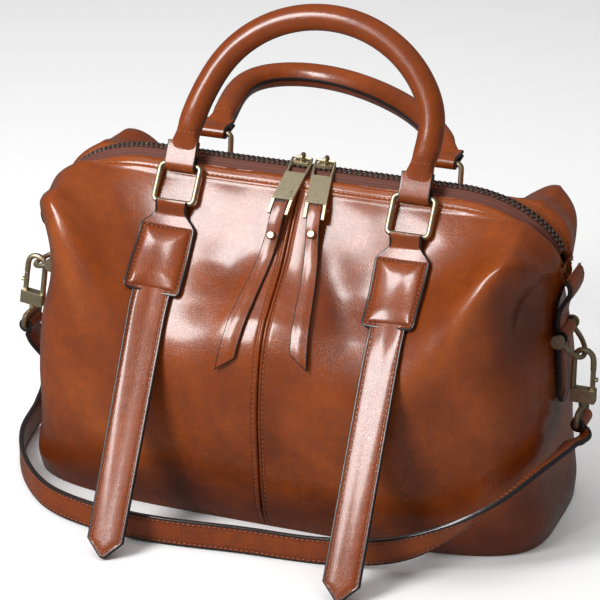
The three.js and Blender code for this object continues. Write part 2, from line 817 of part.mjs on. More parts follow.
// Handles: each hangs in two rings that swing together in the tab loops
function handleShape(skew, leftShift, rightShift) {
  const spots = [];
  const legs = handleRise - handleArch;
  for (const high of [...footShares, footLength / legs, 1]) {
    spots.push({ x: -handleSpread, z: high * legs });
  }
  for (let k = 1; k < archSteps; k += 1) {
    const turn = (Math.PI * k) / archSteps;
    spots.push({ x: -handleSpread * Math.cos(turn), z: legs + handleArch * Math.sin(turn) });
  }
  const near = spots.slice(0, footShares.length + 2).map(({ x, z }) => ({ x: -x, z }));
  const all = [...spots, ...near.reverse()].map(({ x, z }) => {
    const lean = (skew * smooth(0, handleRise, z) * z) / handleRise;
    const legShift = mix(leftShift, rightShift, (x / handleSpread + 1) / 2) * smooth(0, 2 * legs, z);
    return { here: point(x + lean + legShift, 0, z), foot: 1 - smooth(0, footLength, z) };
  });
  const rings = all.map(({ here, foot }, k) => {
    const before = all[Math.max(k - 1, 0)].here;
    const after = all[Math.min(k + 1, all.length - 1)].here;
    const along = after.clone().sub(before).normalize();
    const across = point(along.z, 0, -along.x);
    if (k === 0 || k === all.length - 1) {
      across.set(Math.sign(along.z), 0, 0);
    }
    const wide = mix(handleRadius, footWidth / 2, foot);
    const thick = mix(handleRadius, loopRadius, foot);
    const ring = [];
    for (let f = 0; f < handleFacets; f += 1) {
      const turn = (2 * Math.PI * f) / handleFacets;
      ring.push(
        here
          .clone()
          .addScaledVector(across, wide * Math.cos(turn))
          .add(point(0, thick * Math.sin(turn), 0))
      );
    }
    return ring;
  });
  const loops = [-1, 1].map((sign) => rod("x", loopRadius, footWidth).translate(sign * handleSpread, 0, 0));
  const bores = [-1, 1].map((sign) =>
    rod("x", loopBore, footWidth * 2, 12, true).translate(sign * handleSpread, 0, 0)
  );
  return cut(join(loft(rings), ...loops), ...bores);
}

const handles = [
  {
    name: "front",
    ringLean: frontRingAngle,
    handleLean: frontHandleAngle,
    skew: 0,
    leftShift: frontLegShift,
    rightShift: frontLegShift,
  },
  {
    name: "back",
    ringLean: backRingAngle,
    handleLean: backHandleAngle,
    skew: backHandleSkew,
    leftShift: 0,
    rightShift: backLegShift,
  },
];

for (const { name, ringLean, handleLean, skew, leftShift, rightShift } of handles) {
  const rings = new THREE.Group();
  rings.position.set(0, pivots[name].y, pivots[name].z);
  rings.rotation.x = -radians(ringLean);
  bag.add(rings);
  const outline = roundedLoop(ringWidth, ringPitch, ringCorner, point(1, 0, 0), point(0, 0, 1));
  const ring = wire(outline, ringWire, point(0, 1, 0), 8, true);
  for (const { name: side, sign } of sides) {
    const piece = addPiece(rings, `ring_${name}_${side}`, ring, brassMaterial);
    piece.position.set(sign * handleSpread, 0, ringPitch / 2);
  }
  const arch = handleShape(skew, leftShift, rightShift);
  const handle = addPiece(rings, `${name}_handle`, arch, leatherMaterial);
  handle.position.z = ringPitch;
  handle.rotation.x = -radians(handleLean - ringLean);
}

// End tabs, D-rings with their screw pins, and the dog clips that hold the strap
// Each row of an end tab: its place as a share of the tab's length, its width over endTabWidth,
// and how far it stands off as a share of endTabThick.
const endTabRows = [
  { drop: 0, wide: 1.6, rise: 2.1 },
  { drop: 0.06, wide: 1.42, rise: 1.5 },
  { drop: 0.16, wide: 1.12, rise: 0.5 },
  { drop: 0.3, wide: 1, rise: 0 },
  { drop: 0.5, wide: 0.98, rise: 0 },
  { drop: 0.7, wide: 0.96, rise: 0 },
  { drop: 0.88, wide: 0.92, rise: 0 },
  { drop: 0.96, wide: 0.7, rise: 0 },
  { drop: 1, wide: 0.35, rise: 0 },
];

// The gate's hinge, near the top of the clip's block
const gateHinge = -hookDrop + hookBase - gateSink;

// A dog clip about the bow that it hangs on. Its gate faces away from the bag.
function hookShape(sign) {
  const top = bowWire + gap + hookWire;
  const centre = top - hookHalf;
  const spots = [
    { u: -hookHalf, w: -hookDrop + hookBase / 2 },
    { u: -hookHalf, w: (centre - hookDrop) / 2 },
  ];
  for (let k = 0; k <= hookSteps; k += 1) {
    const turn = (Math.PI * k) / hookSteps;
    spots.push({ u: -hookHalf * Math.cos(turn), w: centre + hookHalf * Math.sin(turn) });
  }
  spots.push({ u: hookHalf, w: -hookNose });
  const arch = wire(spots.map(({ u, w }) => point(sign * u, 0, w)), hookWire, point(0, 1, 0));
  const cheek = gateWidth / 2 + gap + hookCheek;
  const far = hookHalf + gateBarrel;
  const [near, outer] = [-hookHalf - hookWire / 2, far].map((u) => sign * u);
  const block = box(
    point(Math.min(near, outer), -cheek, -hookDrop),
    point(Math.max(near, outer), cheek, -hookDrop + hookBase)
  );
  const [inside, open] = [hookHalf - gateBarrel - 1, far + 1].map((u) => sign * u);
  const slot = box(
    point(Math.min(inside, open), -gateWidth / 2 - gap, gateHinge - gateBarrel - gap),
    point(Math.max(inside, open), gateWidth / 2 + gap, -hookDrop + hookBase + 1)
  );
  const well = rod("z", postRadius + gap, postDepth * 2, 10, true).translate(0, 0, -hookDrop);
  const pin = rod("y", gatePin, cheek * 2 - hookCheek, 8).translate(sign * hookHalf, 0, gateHinge);
  return join(cut(join(block, arch), slot, well), pin);
}

function gateShape(sign) {
  const top = -hookNose - gap;
  const leaf = box(
    point(-gateThick / 2, -gateWidth / 2, 0),
    point(gateThick / 2, gateWidth / 2, top - gateHinge)
  );
  const barrel = rod("y", gateBarrel, gateWidth, 10);
  const thumb = rod("x", thumbRadius, gateThick, 8).translate(
    sign * (gateThick / 2 + thumbOut),
    0,
    (top - gateHinge) * thumbPlace
  );
  return cut(join(leaf, barrel, thumb), rod("y", gatePin + gap, gateWidth * 2, 8, true));
}

function swivelShape() {
  const low = -hookDrop - collarLength;
  const post = rod("z", postRadius, postDepth + collarLength - gap, 10);
  post.translate(0, 0, low + (postDepth + collarLength - gap) / 2);
  const collar = rod("z", collarRadius, collarLength - gap, 10);
  collar.translate(0, 0, low + (collarLength - gap) / 2);
  const loopTop = low - swivelWire / 2;
  const tall = swivelDrop + loopTop + hookDrop;
  const outline = roundedLoop(
    strapWidth + 2 * (swivelWire + 2 * gap + swivelRoom),
    tall,
    swivelCorner,
    point(0, 1, 0),
    point(0, 0, 1)
  ).map((spot) => spot.add(point(0, 0, loopTop - tall / 2)));
  return join(post, collar, wire(outline, swivelWire, point(1, 0, 0), 6, true));
}

const pinLoop = pinRadius + gap + loopLeather;
const endLanes = [-0.5, 0.5];
const strapBars = {};

for (const { name, sign, droop, clipTilt } of sides) {
  const middle = endSectionAt(sign);
  const pin = on(middle, pinDrop, pinLoop + gap).here;
  const layer = (lift) =>
    endTabRows.map(({ drop, wide, rise }) => {
      const { here } = on(middle, drop * endTabLength - endTabTop, lift + rise * endTabThick);
      return endLanes.map((lane) => here.clone().setY(lane * wide * endTabWidth));
    });
  const flat = sheet(layer(endTabLift + endTabThick), layer(endTabLift));
  const loop = rod("y", pinLoop, endTabWidth).translate(pin.x, 0, pin.z);
  const bore = rod("y", pinRadius + gap, endTabWidth * 2, 12, true).translate(pin.x, 0, pin.z);
  addPiece(bag, `end_tab_${name}`, cut(join(flat, loop), bore, ...grownBody), leatherMaterial);

  const fall = radians(droop);
  const reach = point(sign * Math.cos(fall), 0, -Math.sin(fall));
  const bowSpots = [{ y: -bowHalf, far: 0 }];
  for (let k = 0; k <= bowSteps; k += 1) {
    const turn = (Math.PI * k) / bowSteps;
    bowSpots.push({ y: -bowHalf * Math.cos(turn), far: bowDepth - bowHalf + bowHalf * Math.sin(turn) });
  }
  bowSpots.push({ y: bowHalf, far: 0 });
  const bowLine = bowSpots.map(({ y, far }) => point(0, y, 0).addScaledVector(reach, far));
  const bow = wire(bowLine, bowWire, reach.clone().cross(point(0, 1, 0)).normalize());
  const barLength = 2 * (bowHalf + bowWire + headThick);
  const bar = rod("y", pinRadius, barLength, 10);
  const lugs = [-1, 1].map((face) =>
    rod("y", pinRadius + 1, 2 * bowWire, 10).translate(0, face * bowHalf, 0)
  );
  const heads = [-1, 1].map((face) =>
    rod("y", headRadius, headThick, 12).translate(0, face * (bowHalf + bowWire + headThick / 2), 0)
  );
  const ring = addPiece(bag, `end_ring_${name}`, join(bow, bar, ...lugs, ...heads), brassMaterial);
  ring.position.copy(pin);

  const clip = new THREE.Group();
  clip.position.copy(pin).addScaledVector(reach, bowDepth);
  clip.rotation.y = -sign * radians(clipTilt);
  bag.add(clip);
  addPiece(clip, `clip_hook_${name}`, hookShape(sign), brassMaterial);
  const gate = addPiece(clip, `clip_gate_${name}`, gateShape(sign), brassMaterial);
  gate.position.set(sign * hookHalf, 0, gateHinge);
  addPiece(clip, `clip_swivel_${name}`, swivelShape(), brassMaterial);
  clip.updateMatrix();
  strapBars[name] = point(0, 0, -hookDrop - swivelDrop).applyMatrix4(clip.matrix);
}

// Shoulder strap, from the left clip behind the corner, on edge along the ground, up to the right clip.
// along, across and high are shares of halfLength, halfDepth and height. The last three columns point
// along the strap's width, and high is measured from where the strap's middle lies on the ground.
const strapRest = strapWidth / 2 + gap;
const strapRows = [
  { along: -1.138, across: 0.05, high: 0.27, a: 0, b: 1, c: 0.1 },
  { along: -1.115, across: 0.22, high: 0.165, a: -0.4, b: 0.7, c: 0.5 },
  { along: -1.11, across: 0.26, high: 0.07, a: -0.2, b: 0.4, c: 0.9 },
  { along: -1.13, across: 0.02, high: 0.01, a: 0, b: 0, c: 1 },
  { along: -1.09, across: -0.5, high: 0, a: 0, b: 0, c: 1 },
  { along: -0.97, across: -1, high: 0, a: 0, b: 0, c: 1 },
  { along: -0.8, across: -1.38, high: 0, a: 0, b: 0, c: 1 },
  { along: -0.6, across: -1.55, high: 0, a: 0, b: 0, c: 1 },
  { along: -0.35, across: -1.6, high: 0, a: 0, b: 0, c: 1 },
  { along: 0, across: -1.52, high: 0, a: 0, b: 0, c: 1 },
  { along: 0.3, across: -1.46, high: 0, a: 0, b: 0, c: 1 },
  { along: 0.56, across: -1.4, high: 0.03, a: 0, b: -0.1, c: 1 },
  { along: 0.75, across: -1.3, high: 0.1, a: 0.3, b: -0.4, c: 0.85 },
  { along: 0.91, across: -1.12, high: 0.185, a: 0.5, b: -0.6, c: 0.6 },
  { along: 1.01, across: -0.8, high: 0.24, a: 0.55, b: -0.6, c: 0.55 },
  { along: 1.065, across: -0.36, high: 0.25, a: 0.4, b: -0.8, c: 0.4 },
  { along: 1.085, across: -0.06, high: 0.25, a: 0.05, b: -1, c: 0.05 },
];

const strapLoop = swivelWire + gap + strapThick / 2;

function strapShape() {
  const seat = (bar) => bar.clone().add(point(0, 0, -strapLoop + strapSeat));
  const stops = [
    { here: seat(strapBars.left), wide: point(0, 1, 0) },
    ...strapRows.map(({ along, across, high, a, b, c }) => ({
      here: point(along * halfLength, across * halfDepth, strapRest + high * height),
      wide: point(a, b, c),
    })),
    { here: seat(strapBars.right), wide: point(0, -1, 0) },
  ];
  const route = new THREE.CatmullRomCurve3(stops.map(({ here }) => here), false, "centripetal");
  const rings = [];
  for (let k = 0; k <= strapSteps; k += 1) {
    const share = (k / strapSteps) * (stops.length - 1);
    const whole = Math.min(Math.floor(share), stops.length - 2);
    const here = route.getPoint(share / (stops.length - 1));
    const along = route.getTangent(share / (stops.length - 1));
    const wide = stops[whole].wide.clone().lerp(stops[whole + 1].wide, share - whole);
    wide.addScaledVector(along, -wide.dot(along)).normalize();
    const thick = along.clone().cross(wide).normalize();
    const ring = [];
    for (const [w, t] of [[1, 1], [-1, 1], [-1, -1], [1, -1]]) {
      const corner = here.clone().addScaledVector(wide, (w * strapWidth) / 2);
      corner.addScaledVector(thick, (t * strapThick) / 2);
      corner.z = Math.max(corner.z, 0);
      ring.push(corner);
    }
    rings.push(ring);
  }
  const loops = [];
  const bores = [];
  for (const bar of [strapBars.left, strapBars.right]) {
    loops.push(rod("y", strapLoop + strapThick / 2, strapWidth).translate(bar.x, bar.y, bar.z));
    bores.push(rod("y", swivelWire + gap, strapWidth * 2, 12, true).translate(bar.x, bar.y, bar.z));
  }
  return cut(join(loft(rings), ...loops), ...bores);
}

addPiece(bag, "shoulder_strap", strapShape(), leatherMaterial);

export default bag;
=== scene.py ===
"""A cognac leather boston bag, dressed over its plain solids and lit for a product photograph."""

import json
import math

import bmesh
import bpy
import numpy as np
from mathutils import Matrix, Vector


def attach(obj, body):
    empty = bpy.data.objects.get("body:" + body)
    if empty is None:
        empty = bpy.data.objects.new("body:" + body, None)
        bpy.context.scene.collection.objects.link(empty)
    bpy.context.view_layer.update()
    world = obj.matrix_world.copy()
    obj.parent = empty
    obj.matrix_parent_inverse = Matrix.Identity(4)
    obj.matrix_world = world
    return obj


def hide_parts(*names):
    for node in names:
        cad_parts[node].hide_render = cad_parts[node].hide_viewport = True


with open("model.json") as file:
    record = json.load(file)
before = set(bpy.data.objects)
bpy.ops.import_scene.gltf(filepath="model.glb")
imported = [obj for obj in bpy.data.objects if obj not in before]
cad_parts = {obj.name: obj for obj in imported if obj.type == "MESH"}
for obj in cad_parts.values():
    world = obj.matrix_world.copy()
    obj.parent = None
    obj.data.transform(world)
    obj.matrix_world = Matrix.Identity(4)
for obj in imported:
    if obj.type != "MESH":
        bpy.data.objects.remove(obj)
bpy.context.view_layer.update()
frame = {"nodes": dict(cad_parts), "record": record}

bl_info = {
    "name": "Boston bag",
    "version": (1, 0, 0),
    "blender": (4, 5, 0),
    "location": "View3D > Sidebar > Bag",
    "description": "Builds a leather boston bag piece by piece, with its stage",
    "category": "Add Mesh",
}

MM = 0.001
FRONT, BACK = -1, 1
LEFT, RIGHT = -1, 1
FACES = {"front": FRONT, "back": BACK}
SIDES = {"left": LEFT, "right": RIGHT}

# Body
HALF_LENGTH = 170 * MM
HALF_DEPTH = 75 * MM
HEIGHT = 215 * MM
BODY_LEATHER = 2.5 * MM
SEAM_GAP = 0.3 * MM
SEAM_PLACE = 1 * MM
CORNER_ALONG = 0.88
CORNER_ENDS = {FRONT: 1.08, BACK: 1.0}
ZIP_STRAIGHT = 100 * MM
ZIP_DROP = 47 * MM
LIP_DROP = 4.5 * MM
SLOT_HALF = 10 * MM

# The body in rings round it, from the zip's slot down to the middle of the base. Columns: the ring's
# reach to the end and to the side as shares of the half length and half depth, how boxy it is, and its
# height at the seam, the tab, the corner and the end as shares of the height. The slot follows the zip.
SLOT_RING = -1
BODY_RINGS = np.array([
    (1.0, SLOT_HALF / HALF_DEPTH, 5, SLOT_RING, SLOT_RING, SLOT_RING, SLOT_RING),
    (1.004, 0.29, 4.6, 0.915, 0.915, 0.955, 0.758),
    (1.008, 0.6, 4.6, 0.775, 0.76, 0.935, 0.748),
    (1.008, 0.86, 4.6, 0.688, 0.655, 0.935, 0.735),
    (1.0, 1.02, 4.6, 0.63, 0.575, 0.905, 0.71),
    (0.985, 1.13, 4.2, 0.54, 0.48, 0.77, 0.64),
    (0.985, 1.19, 4.2, 0.38, 0.35, 0.43, 0.42),
    (0.99, 1.15, 4.2, 0.2, 0.19, 0.2, 0.2),
    (1.02, 1.08, 4.2, 0.055, 0.055, 0.055, 0.055),
    (1.015, 1.0, 4.2, 0, 0, 0, 0),
    (0.55, 0.55, 4.2, 0, 0, 0, 0),
    (0, 0, 4.2, 0, 0, 0, 0),
])
LAST_RING = len(BODY_RINGS) - 1

# Hollows pressed into the skin. Columns: middle x, y, z and half width x, y, z as shares of the half
# length, half depth and height, then depth as a share of the half depth.
HOLLOWS = np.array([
    (0.93, -0.55, 0.7, 0.16, 0.4, 0.16, 0.2),
    (0.93, 0.55, 0.7, 0.16, 0.4, 0.16, 0.14),
    (-0.93, -0.55, 0.7, 0.16, 0.4, 0.16, 0.16),
    (-0.93, 0.55, 0.7, 0.16, 0.4, 0.16, 0.14),
    (0.28, -0.72, 0.71, 0.16, 0.3, 0.1, 0.035),
    (-0.2, -0.62, 0.76, 0.12, 0.3, 0.1, 0.03),
    (0.66, -1.1, 0.4, 0.14, 0.3, 0.25, 0.05),
])

# Soft folds in the faces, each a line from one place to another. Columns: face, x and z at each end as
# shares of the half length and height, half width in millimetres and height in millimetres.
FOLDS = np.array([
    (FRONT, 0.03, 0.84, 0.17, 0.6, 5, 0.4),
    (FRONT, 0.12, 0.82, 0.3, 0.62, 7, -1.1),
    (FRONT, -0.05, 0.8, -0.17, 0.58, 6, 0.8),
    (FRONT, 0.7, 0.66, 0.84, 0.9, 6, 1.6),
    (FRONT, 0.5, 0.48, 0.7, 0.66, 9, 1.2),
    (FRONT, -0.7, 0.62, -0.86, 0.88, 7, 1.4),
    (FRONT, 0.06, 0.5, 0.04, 0.2, 12, -0.9),
    (FRONT, 0.3, 0.2, 0.75, 0.14, 14, 1.0),
    (FRONT, -0.75, 0.3, -0.35, 0.14, 14, 1.0),
    (BACK, 0.1, 0.7, 0.2, 0.3, 12, 1.0),
    (BACK, -0.2, 0.7, -0.1, 0.3, 12, -1.0),
    (BACK, 0.55, 0.5, 0.82, 0.88, 7, 1.4),
    (BACK, -0.55, 0.5, -0.82, 0.88, 7, 1.4),
])

# Zip
CHAIN_HALF = 4 * MM
TAPE_THICK = 1.4 * MM
TAPE_SINK = 0.6 * MM
TAPE_INSET = 0.6 * MM
ZIP_STOP = 3 * MM
CLEARANCE = 0.3 * MM

# Tabs, handles and rings
HANDLE_SPREAD = 77 * MM
HANDLE_RISE = 102 * MM
HANDLE_ARCH = 72 * MM
HANDLE_RADIUS = 8 * MM
FOOT_WIDTH = 20 * MM
LOOP_LEATHER = 2 * MM
RING_WIRE = 1.75 * MM
RING_WIDTH = 26.6 * MM
RING_PITCH = 24.3 * MM
RING_CORNER = 3 * MM
NECK_DROP = 28 * MM
TAB_LENGTH = 60 * MM
TAB_WIDTH = 36 * MM
NECK_WIDTH = 21 * MM
TAB_LIFT = 0.5 * MM
HANDLE_LEANS = {"front": 20.8, "back": 85.5}
RING_LEANS = {"front": 36, "back": 7}
HANDLE_SKEWS = {"front": 0, "back": -36 * MM}
LEG_SHIFTS = {"front": (8 * MM, 8 * MM), "back": (0, -14 * MM)}
LOOP_RADIUS = RING_WIRE + CLEARANCE + LOOP_LEATHER

# Belts
BELT_WIDTH = 24 * MM
BELT_THICK = 2.8 * MM
BELT_TUCK = 14 * MM
BELT_REACH = 77 * MM
BELT_POINT = 11 * MM
BELT_NOSE = 3 * MM
BELT_LEAVE = 19 * MM

# Pulls
PULL_LENGTH = 122 * MM
PULL_SLOPE = math.radians(36)
PLATE_FOOT = 32 * MM
PLATE_FOOT_DROP = 25 * MM
PLATE_WIDTH = 13.4 * MM
PRONG_WIDTH = 1.8 * MM
BAIL_HEIGHT = 4.9 * MM
BAIL_STRAIGHT = 6.5 * MM
STRIP_WIDTH = 11.5 * MM
STRIP_THICK = 1.8 * MM
STRIP_LIFT = 6 * MM
STRIP_REST = 1.9 * MM
STRIP_SLANT = 9 * MM
SLIDER_MIDDLE = 5.7 * MM
SLIDER_SPACING = 15.6 * MM
PULL_LEANS = {"left": -0.15, "right": 0.11}
PULL_REACHES = {"left": 1.08, "right": 1.015}

# End tabs, clips and the strap
END_TAB_THICK = 3 * MM
END_TAB_LIFT = 1.5 * MM
END_TAB_TOP = 3 * MM
END_TAB_LENGTH = 86 * MM
END_TAB_WIDTH = 21 * MM
PIN_DROP = 36 * MM
PIN_LOOP = 4.5 * MM
BOW_DEPTH = 19 * MM
CLIP_DROOPS = {"left": math.radians(20), "right": math.radians(48)}
CLIP_TILTS = {"left": math.radians(8), "right": 0.0}
BAR_DROP = 44 * MM
BAR_WIRE = 1.6 * MM
STRAP_WIDTH = 18 * MM
STRAP_THICK = 3 * MM
STRAP_SEAT = 0.4 * MM

# Each row of an end tab: its place along it, its width, and how far it stands off, as shares.
END_TAB_ROWS = np.array([
    (0, 1.6, 2.1),
    (0.06, 1.42, 1.5),
    (0.16, 1.12, 0.5),
    (0.3, 1, 0),
    (0.5, 0.98, 0),
    (0.7, 0.96, 0),
    (0.88, 0.92, 0),
    (0.96, 0.7, 0),
    (1, 0.35, 0),
])

# The strap's way from the left clip to the right one. Columns: x, y and z as shares of the half length,
# half depth and height, the last from where the strap lies, then the direction of its width.
STRAP_ROUTE = np.array([
    (-1.138, 0.05, 0.27, 0, 1, 0.1),
    (-1.115, 0.22, 0.165, -0.4, 0.7, 0.5),
    (-1.11, 0.26, 0.07, -0.2, 0.4, 0.9),
    (-1.13, 0.02, 0.01, 0, 0, 1),
    (-1.09, -0.5, 0, 0, 0, 1),
    (-0.97, -1, 0, 0, 0, 1),
    (-0.8, -1.38, 0, 0, 0, 1),
    (-0.6, -1.55, 0, 0, 0, 1),
    (-0.35, -1.6, 0, 0, 0, 1),
    (0, -1.52, 0, 0, 0, 1),
    (0.3, -1.46, 0, 0, 0, 1),
    (0.56, -1.4, 0.03, 0, -0.1, 1),
    (0.75, -1.3, 0.1, 0.3, -0.4, 0.85),
    (0.91, -1.12, 0.185, 0.5, -0.6, 0.6),
    (1.01, -0.8, 0.24, 0.55, -0.6, 0.55),
    (1.065, -0.36, 0.25, 0.4, -0.8, 0.4),
    (1.085, -0.06, 0.25, 0.05, -1, 0.05),
])


def mix(start, end, share):
    """Straight blend from one value to another."""
    return start + (end - start) * share


def smooth(start, end, value):
    """Blend share from 0 to 1 that leaves and arrives level."""
    share = np.clip((value - start) / (end - start), 0, 1)
    return share * share * (3 - 2 * share)


def unit(vectors):
    """Vectors scaled to a length of one."""
    return vectors / np.maximum(np.linalg.norm(vectors, axis=-1, keepdims=True), 1e-12)


def stacked(x, y, z):
    """Places from their three coordinates, which may be numbers or arrays."""
    return np.stack(np.broadcast_arrays(x, y, z), axis=-1).astype(float)


def distances(path):
    """Distance travelled at each place of a path."""
    steps = np.linalg.norm(np.diff(path, axis=0), axis=-1)
    return np.concatenate([[0], np.cumsum(steps)])


def at_distance(far, along, values):
    """Values that are known at some distances, read at others along straight lines."""
    columns = [np.interp(far, along, values[:, k]) for k in range(values.shape[1])]
    return np.stack(columns, axis=-1)


def resampled(path, count):
    """The same path in equal steps."""
    along = distances(path)
    return at_distance(np.linspace(0, along[-1], count), along, path)


def relaxed(path, passes):
    """A path whose kinks are eased: each place moves to the mean of itself and its neighbours."""
    for _ in range(passes):
        eased = path.copy()
        eased[1:-1] = (path[:-2] + 2 * path[1:-1] + path[2:]) / 4
        path = eased
    return path


def turned(places, angle):
    """Places turned about X."""
    x, y, z = np.moveaxis(places, -1, 0)
    cos, sin = math.cos(angle), math.sin(angle)
    return np.stack([x, y * cos - z * sin, y * sin + z * cos], axis=-1)


def nearest(values, target):
    """Index of the value nearest to a target."""
    return int(np.argmin(np.abs(values - target)))


def paired(first, second):
    """Two arrays side by side in a last axis."""
    return np.stack(np.broadcast_arrays(first, second), axis=-1)


X_WAY, Y_WAY = np.array([1.0, 0, 0]), np.array([0, 1.0, 0])


class Shell:
    """Grids of places gathered into one piece. The map runs along and across it in metres, and rim is 1 on
    a cut edge and 0 on the faces."""

    def __init__(self):
        self.places, self.faces, self.maps, self.marks = [], [], [], []
        self.count = 0

    # The last mark is painted light and shade: 0.5 paints nothing, lower paints shade and higher paints
    # highlight.
    def grid(self, places, across=None, rim=0.0, tone=0.5):
        """Adds one grid, or a whole stack of them, as quads between neighbouring places."""
        rows, columns = places.shape[-3:-1]
        stack = places.reshape(-1, rows, columns, 3)
        index = np.arange(stack[..., 0].size).reshape(stack.shape[:-1]) + self.count
        near, far = index[:, :-1], index[:, 1:]
        quads = np.stack([near[..., :-1], far[..., :-1], far[..., 1:], near[..., 1:]], axis=-1)
        self.faces.append(quads.reshape(-1, 4))
        self.places.append(stack.reshape(-1, 3))
        spread = np.zeros(stack.shape[:-1] + (2,)) if across is None else across
        self.maps.append(np.broadcast_to(spread, stack.shape[:-1] + (2,)).reshape(-1, 2))
        marks = np.stack(np.broadcast_arrays(rim, tone), axis=-1)
        self.marks.append(np.broadcast_to(marks, stack.shape[:-1] + (2,)).reshape(-1, 2))
        self.count += stack[..., 0].size

    def walls(self, upper, lower, rim=1.0):
        """Closes two grids that face each other with a wall round their border."""
        share = np.linspace(0, 1, 3)[:, None, None]
        for cut in (np.s_[0], np.s_[-1], np.s_[:, 0], np.s_[:, -1]):
            self.grid(mix(upper[cut][None], lower[cut][None], share), rim=rim)

    def slab(self, upper, lower, across, rim, tone=0.5, under=0.5):
        """Adds a piece of leather: its face, its back and the wall round its border."""
        self.grid(upper, across, rim, tone)
        self.grid(lower, across, under)
        self.walls(upper, lower)

    def build(self, name, finish, body, slot, replaces=(), sharp=40):
        """Makes the piece: welds its grids, turns its faces outward and hands it to its body."""
        mesh = bpy.data.meshes.new(name)
        mesh.from_pydata(np.concatenate(self.places), [], np.concatenate(self.faces))
        corner = np.empty(len(mesh.loops), dtype=np.int32)
        mesh.loops.foreach_get("vertex_index", corner)
        layer = mesh.uv_layers.new(name="along_and_across")
        layer.data.foreach_set("uv", np.concatenate(self.maps)[corner].ravel().astype(np.float32))
        for column, label in enumerate(("rim", "tone")):
            mark = mesh.attributes.new(label, "FLOAT", "POINT")
            mark.data.foreach_set("value", np.concatenate(self.marks)[:, column].astype(np.float32))
        work = bmesh.new()
        work.from_mesh(mesh)
        bmesh.ops.remove_doubles(work, verts=work.verts, dist=2e-6)
        bmesh.ops.recalc_face_normals(work, faces=work.faces)
        work.to_mesh(mesh)
        work.free()
        mesh.shade_smooth()
        mesh.set_sharp_from_angle(angle=math.radians(sharp))
        mesh.materials.append(finish)
        piece = bpy.data.objects.new(name, mesh)
        bpy.context.scene.collection.objects.link(piece)
        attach(piece, body)
        if replaces:
            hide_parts(*replaces)
        return piece


# A stitch: its length as a share of the pitch, then its lift and how deep its ends sink, in thread radii.
STITCH_SHARE = 0.74
STITCH_LIFT = 0.35
STITCH_SINK = 0.9


def stitches(shell, path, normals, thread, pitch, slant=0.12):
    """A row of stitches: along the path, each one is half an ellipse turned round its length, its ends
    sunk into the leather and its line a little slanted."""
    along = distances(path)
    count = max(int(along[-1] / pitch), 1)
    middle = (np.arange(count) + 0.5) * along[-1] / count
    length = pitch * STITCH_SHARE
    here = at_distance(middle, along, path)
    near = 0.3 * pitch
    ahead = unit(at_distance(middle + near, along, path) - at_distance(middle - near, along, path))
    out = unit(at_distance(middle, along, normals))
    side = unit(np.cross(out, ahead))
    ahead = unit(ahead + slant * side)
    side = np.cross(out, ahead)
    turn, roll = np.meshgrid(np.linspace(0, math.pi, 6), np.linspace(0, 2 * math.pi, 7), indexing="ij")
    forward = -np.cos(turn) * length / 2
    thick = np.sin(turn) ** 0.7 * thread
    lift = thread * (STITCH_LIFT - STITCH_SINK * (1 - np.sin(turn)))
    local = [forward, np.cos(roll) * thick, np.sin(roll) * thick + lift]
    spot = lambda vector, share: vector[:, None, None, :] * share[None, ..., None]
    shell.grid(here[:, None, None, :] + spot(ahead, local[0]) + spot(side, local[1]) + spot(out, local[2]))


def lane_places(half, insets, inner):
    """Distance from the middle line, and from the nearer edge, for each lane of each row. The lanes draw
    together where a row is narrow."""
    near = insets[None, :] * np.minimum(1, 0.8 * half / insets[-1])[:, None]
    edge = half[:, None] - near
    middle = inner[None, :] * edge[:, -1:]
    across = np.concatenate([-edge, middle, edge[:, ::-1]], axis=1)
    return across, half[:, None] - np.abs(across)


def edge_round(distance, radius):
    """How far a face drops toward its edge: a quarter circle of that radius."""
    near = 1 - np.clip(distance / radius, 0, 1)
    return radius * (1 - np.sqrt(np.maximum(0, 1 - near * near)))


def groove(distance, place, width):
    """A dip along a stitch row: a bell curve across it."""
    return np.exp(-(((distance - place) / width) ** 2))


def stitch_painted_shade(distance, place):
    """Painted shade beside a stitch row: darker in the dip where the thread pulls the leather in."""
    return 0.5 - 0.35 * groove(distance, place, 0.8 * MM)


def rim_mark(distance, width):
    """1 on the cut edge, fading over the painted width."""
    return 1 - smooth(width * 0.5, width, distance)


def sweep(path, right, up, outline, caps=True):
    """A closed outline carried along a path: each ring is the path's place plus the outline's two columns
    times the right and up directions. Capped ends gather to the middle of their ring."""
    rings = (
        path[:, None, :]
        + outline[..., 0:1] * np.broadcast_to(right, path.shape)[:, None, :]
        + outline[..., 1:2] * np.broadcast_to(up, path.shape)[:, None, :]
    )
    if not caps:
        return rings
    middle = rings.mean(axis=1, keepdims=True)
    first = mix(rings[0], middle[0], np.array([1, 0.5])[:, None, None])
    last = mix(rings[-1], middle[-1], np.array([0.5, 1])[:, None, None])
    return np.concatenate([first, rings, last])


def round_outline(radius, count=13):
    """A circle as closed columns."""
    turn = np.linspace(0, 2 * math.pi, count)
    return np.stack([np.cos(turn), np.sin(turn)], axis=-1) * np.asarray(radius)[..., None, None]


def directions(path, closed=False):
    """Direction of travel at each place of a path."""
    if closed:
        ring = np.concatenate([path[-2:-1], path, path[1:2]])
        return unit(ring[2:] - ring[:-2])
    return unit(np.gradient(path, axis=0))


def wire(path, normal, radius, closed=False, count=13):
    """A round wire through places that lie in one plane, whose normal is given."""
    ahead = directions(path, closed)
    across = unit(np.cross(normal, ahead))
    return sweep(path, across, np.asarray(normal, float), round_outline(radius, count), caps=not closed)


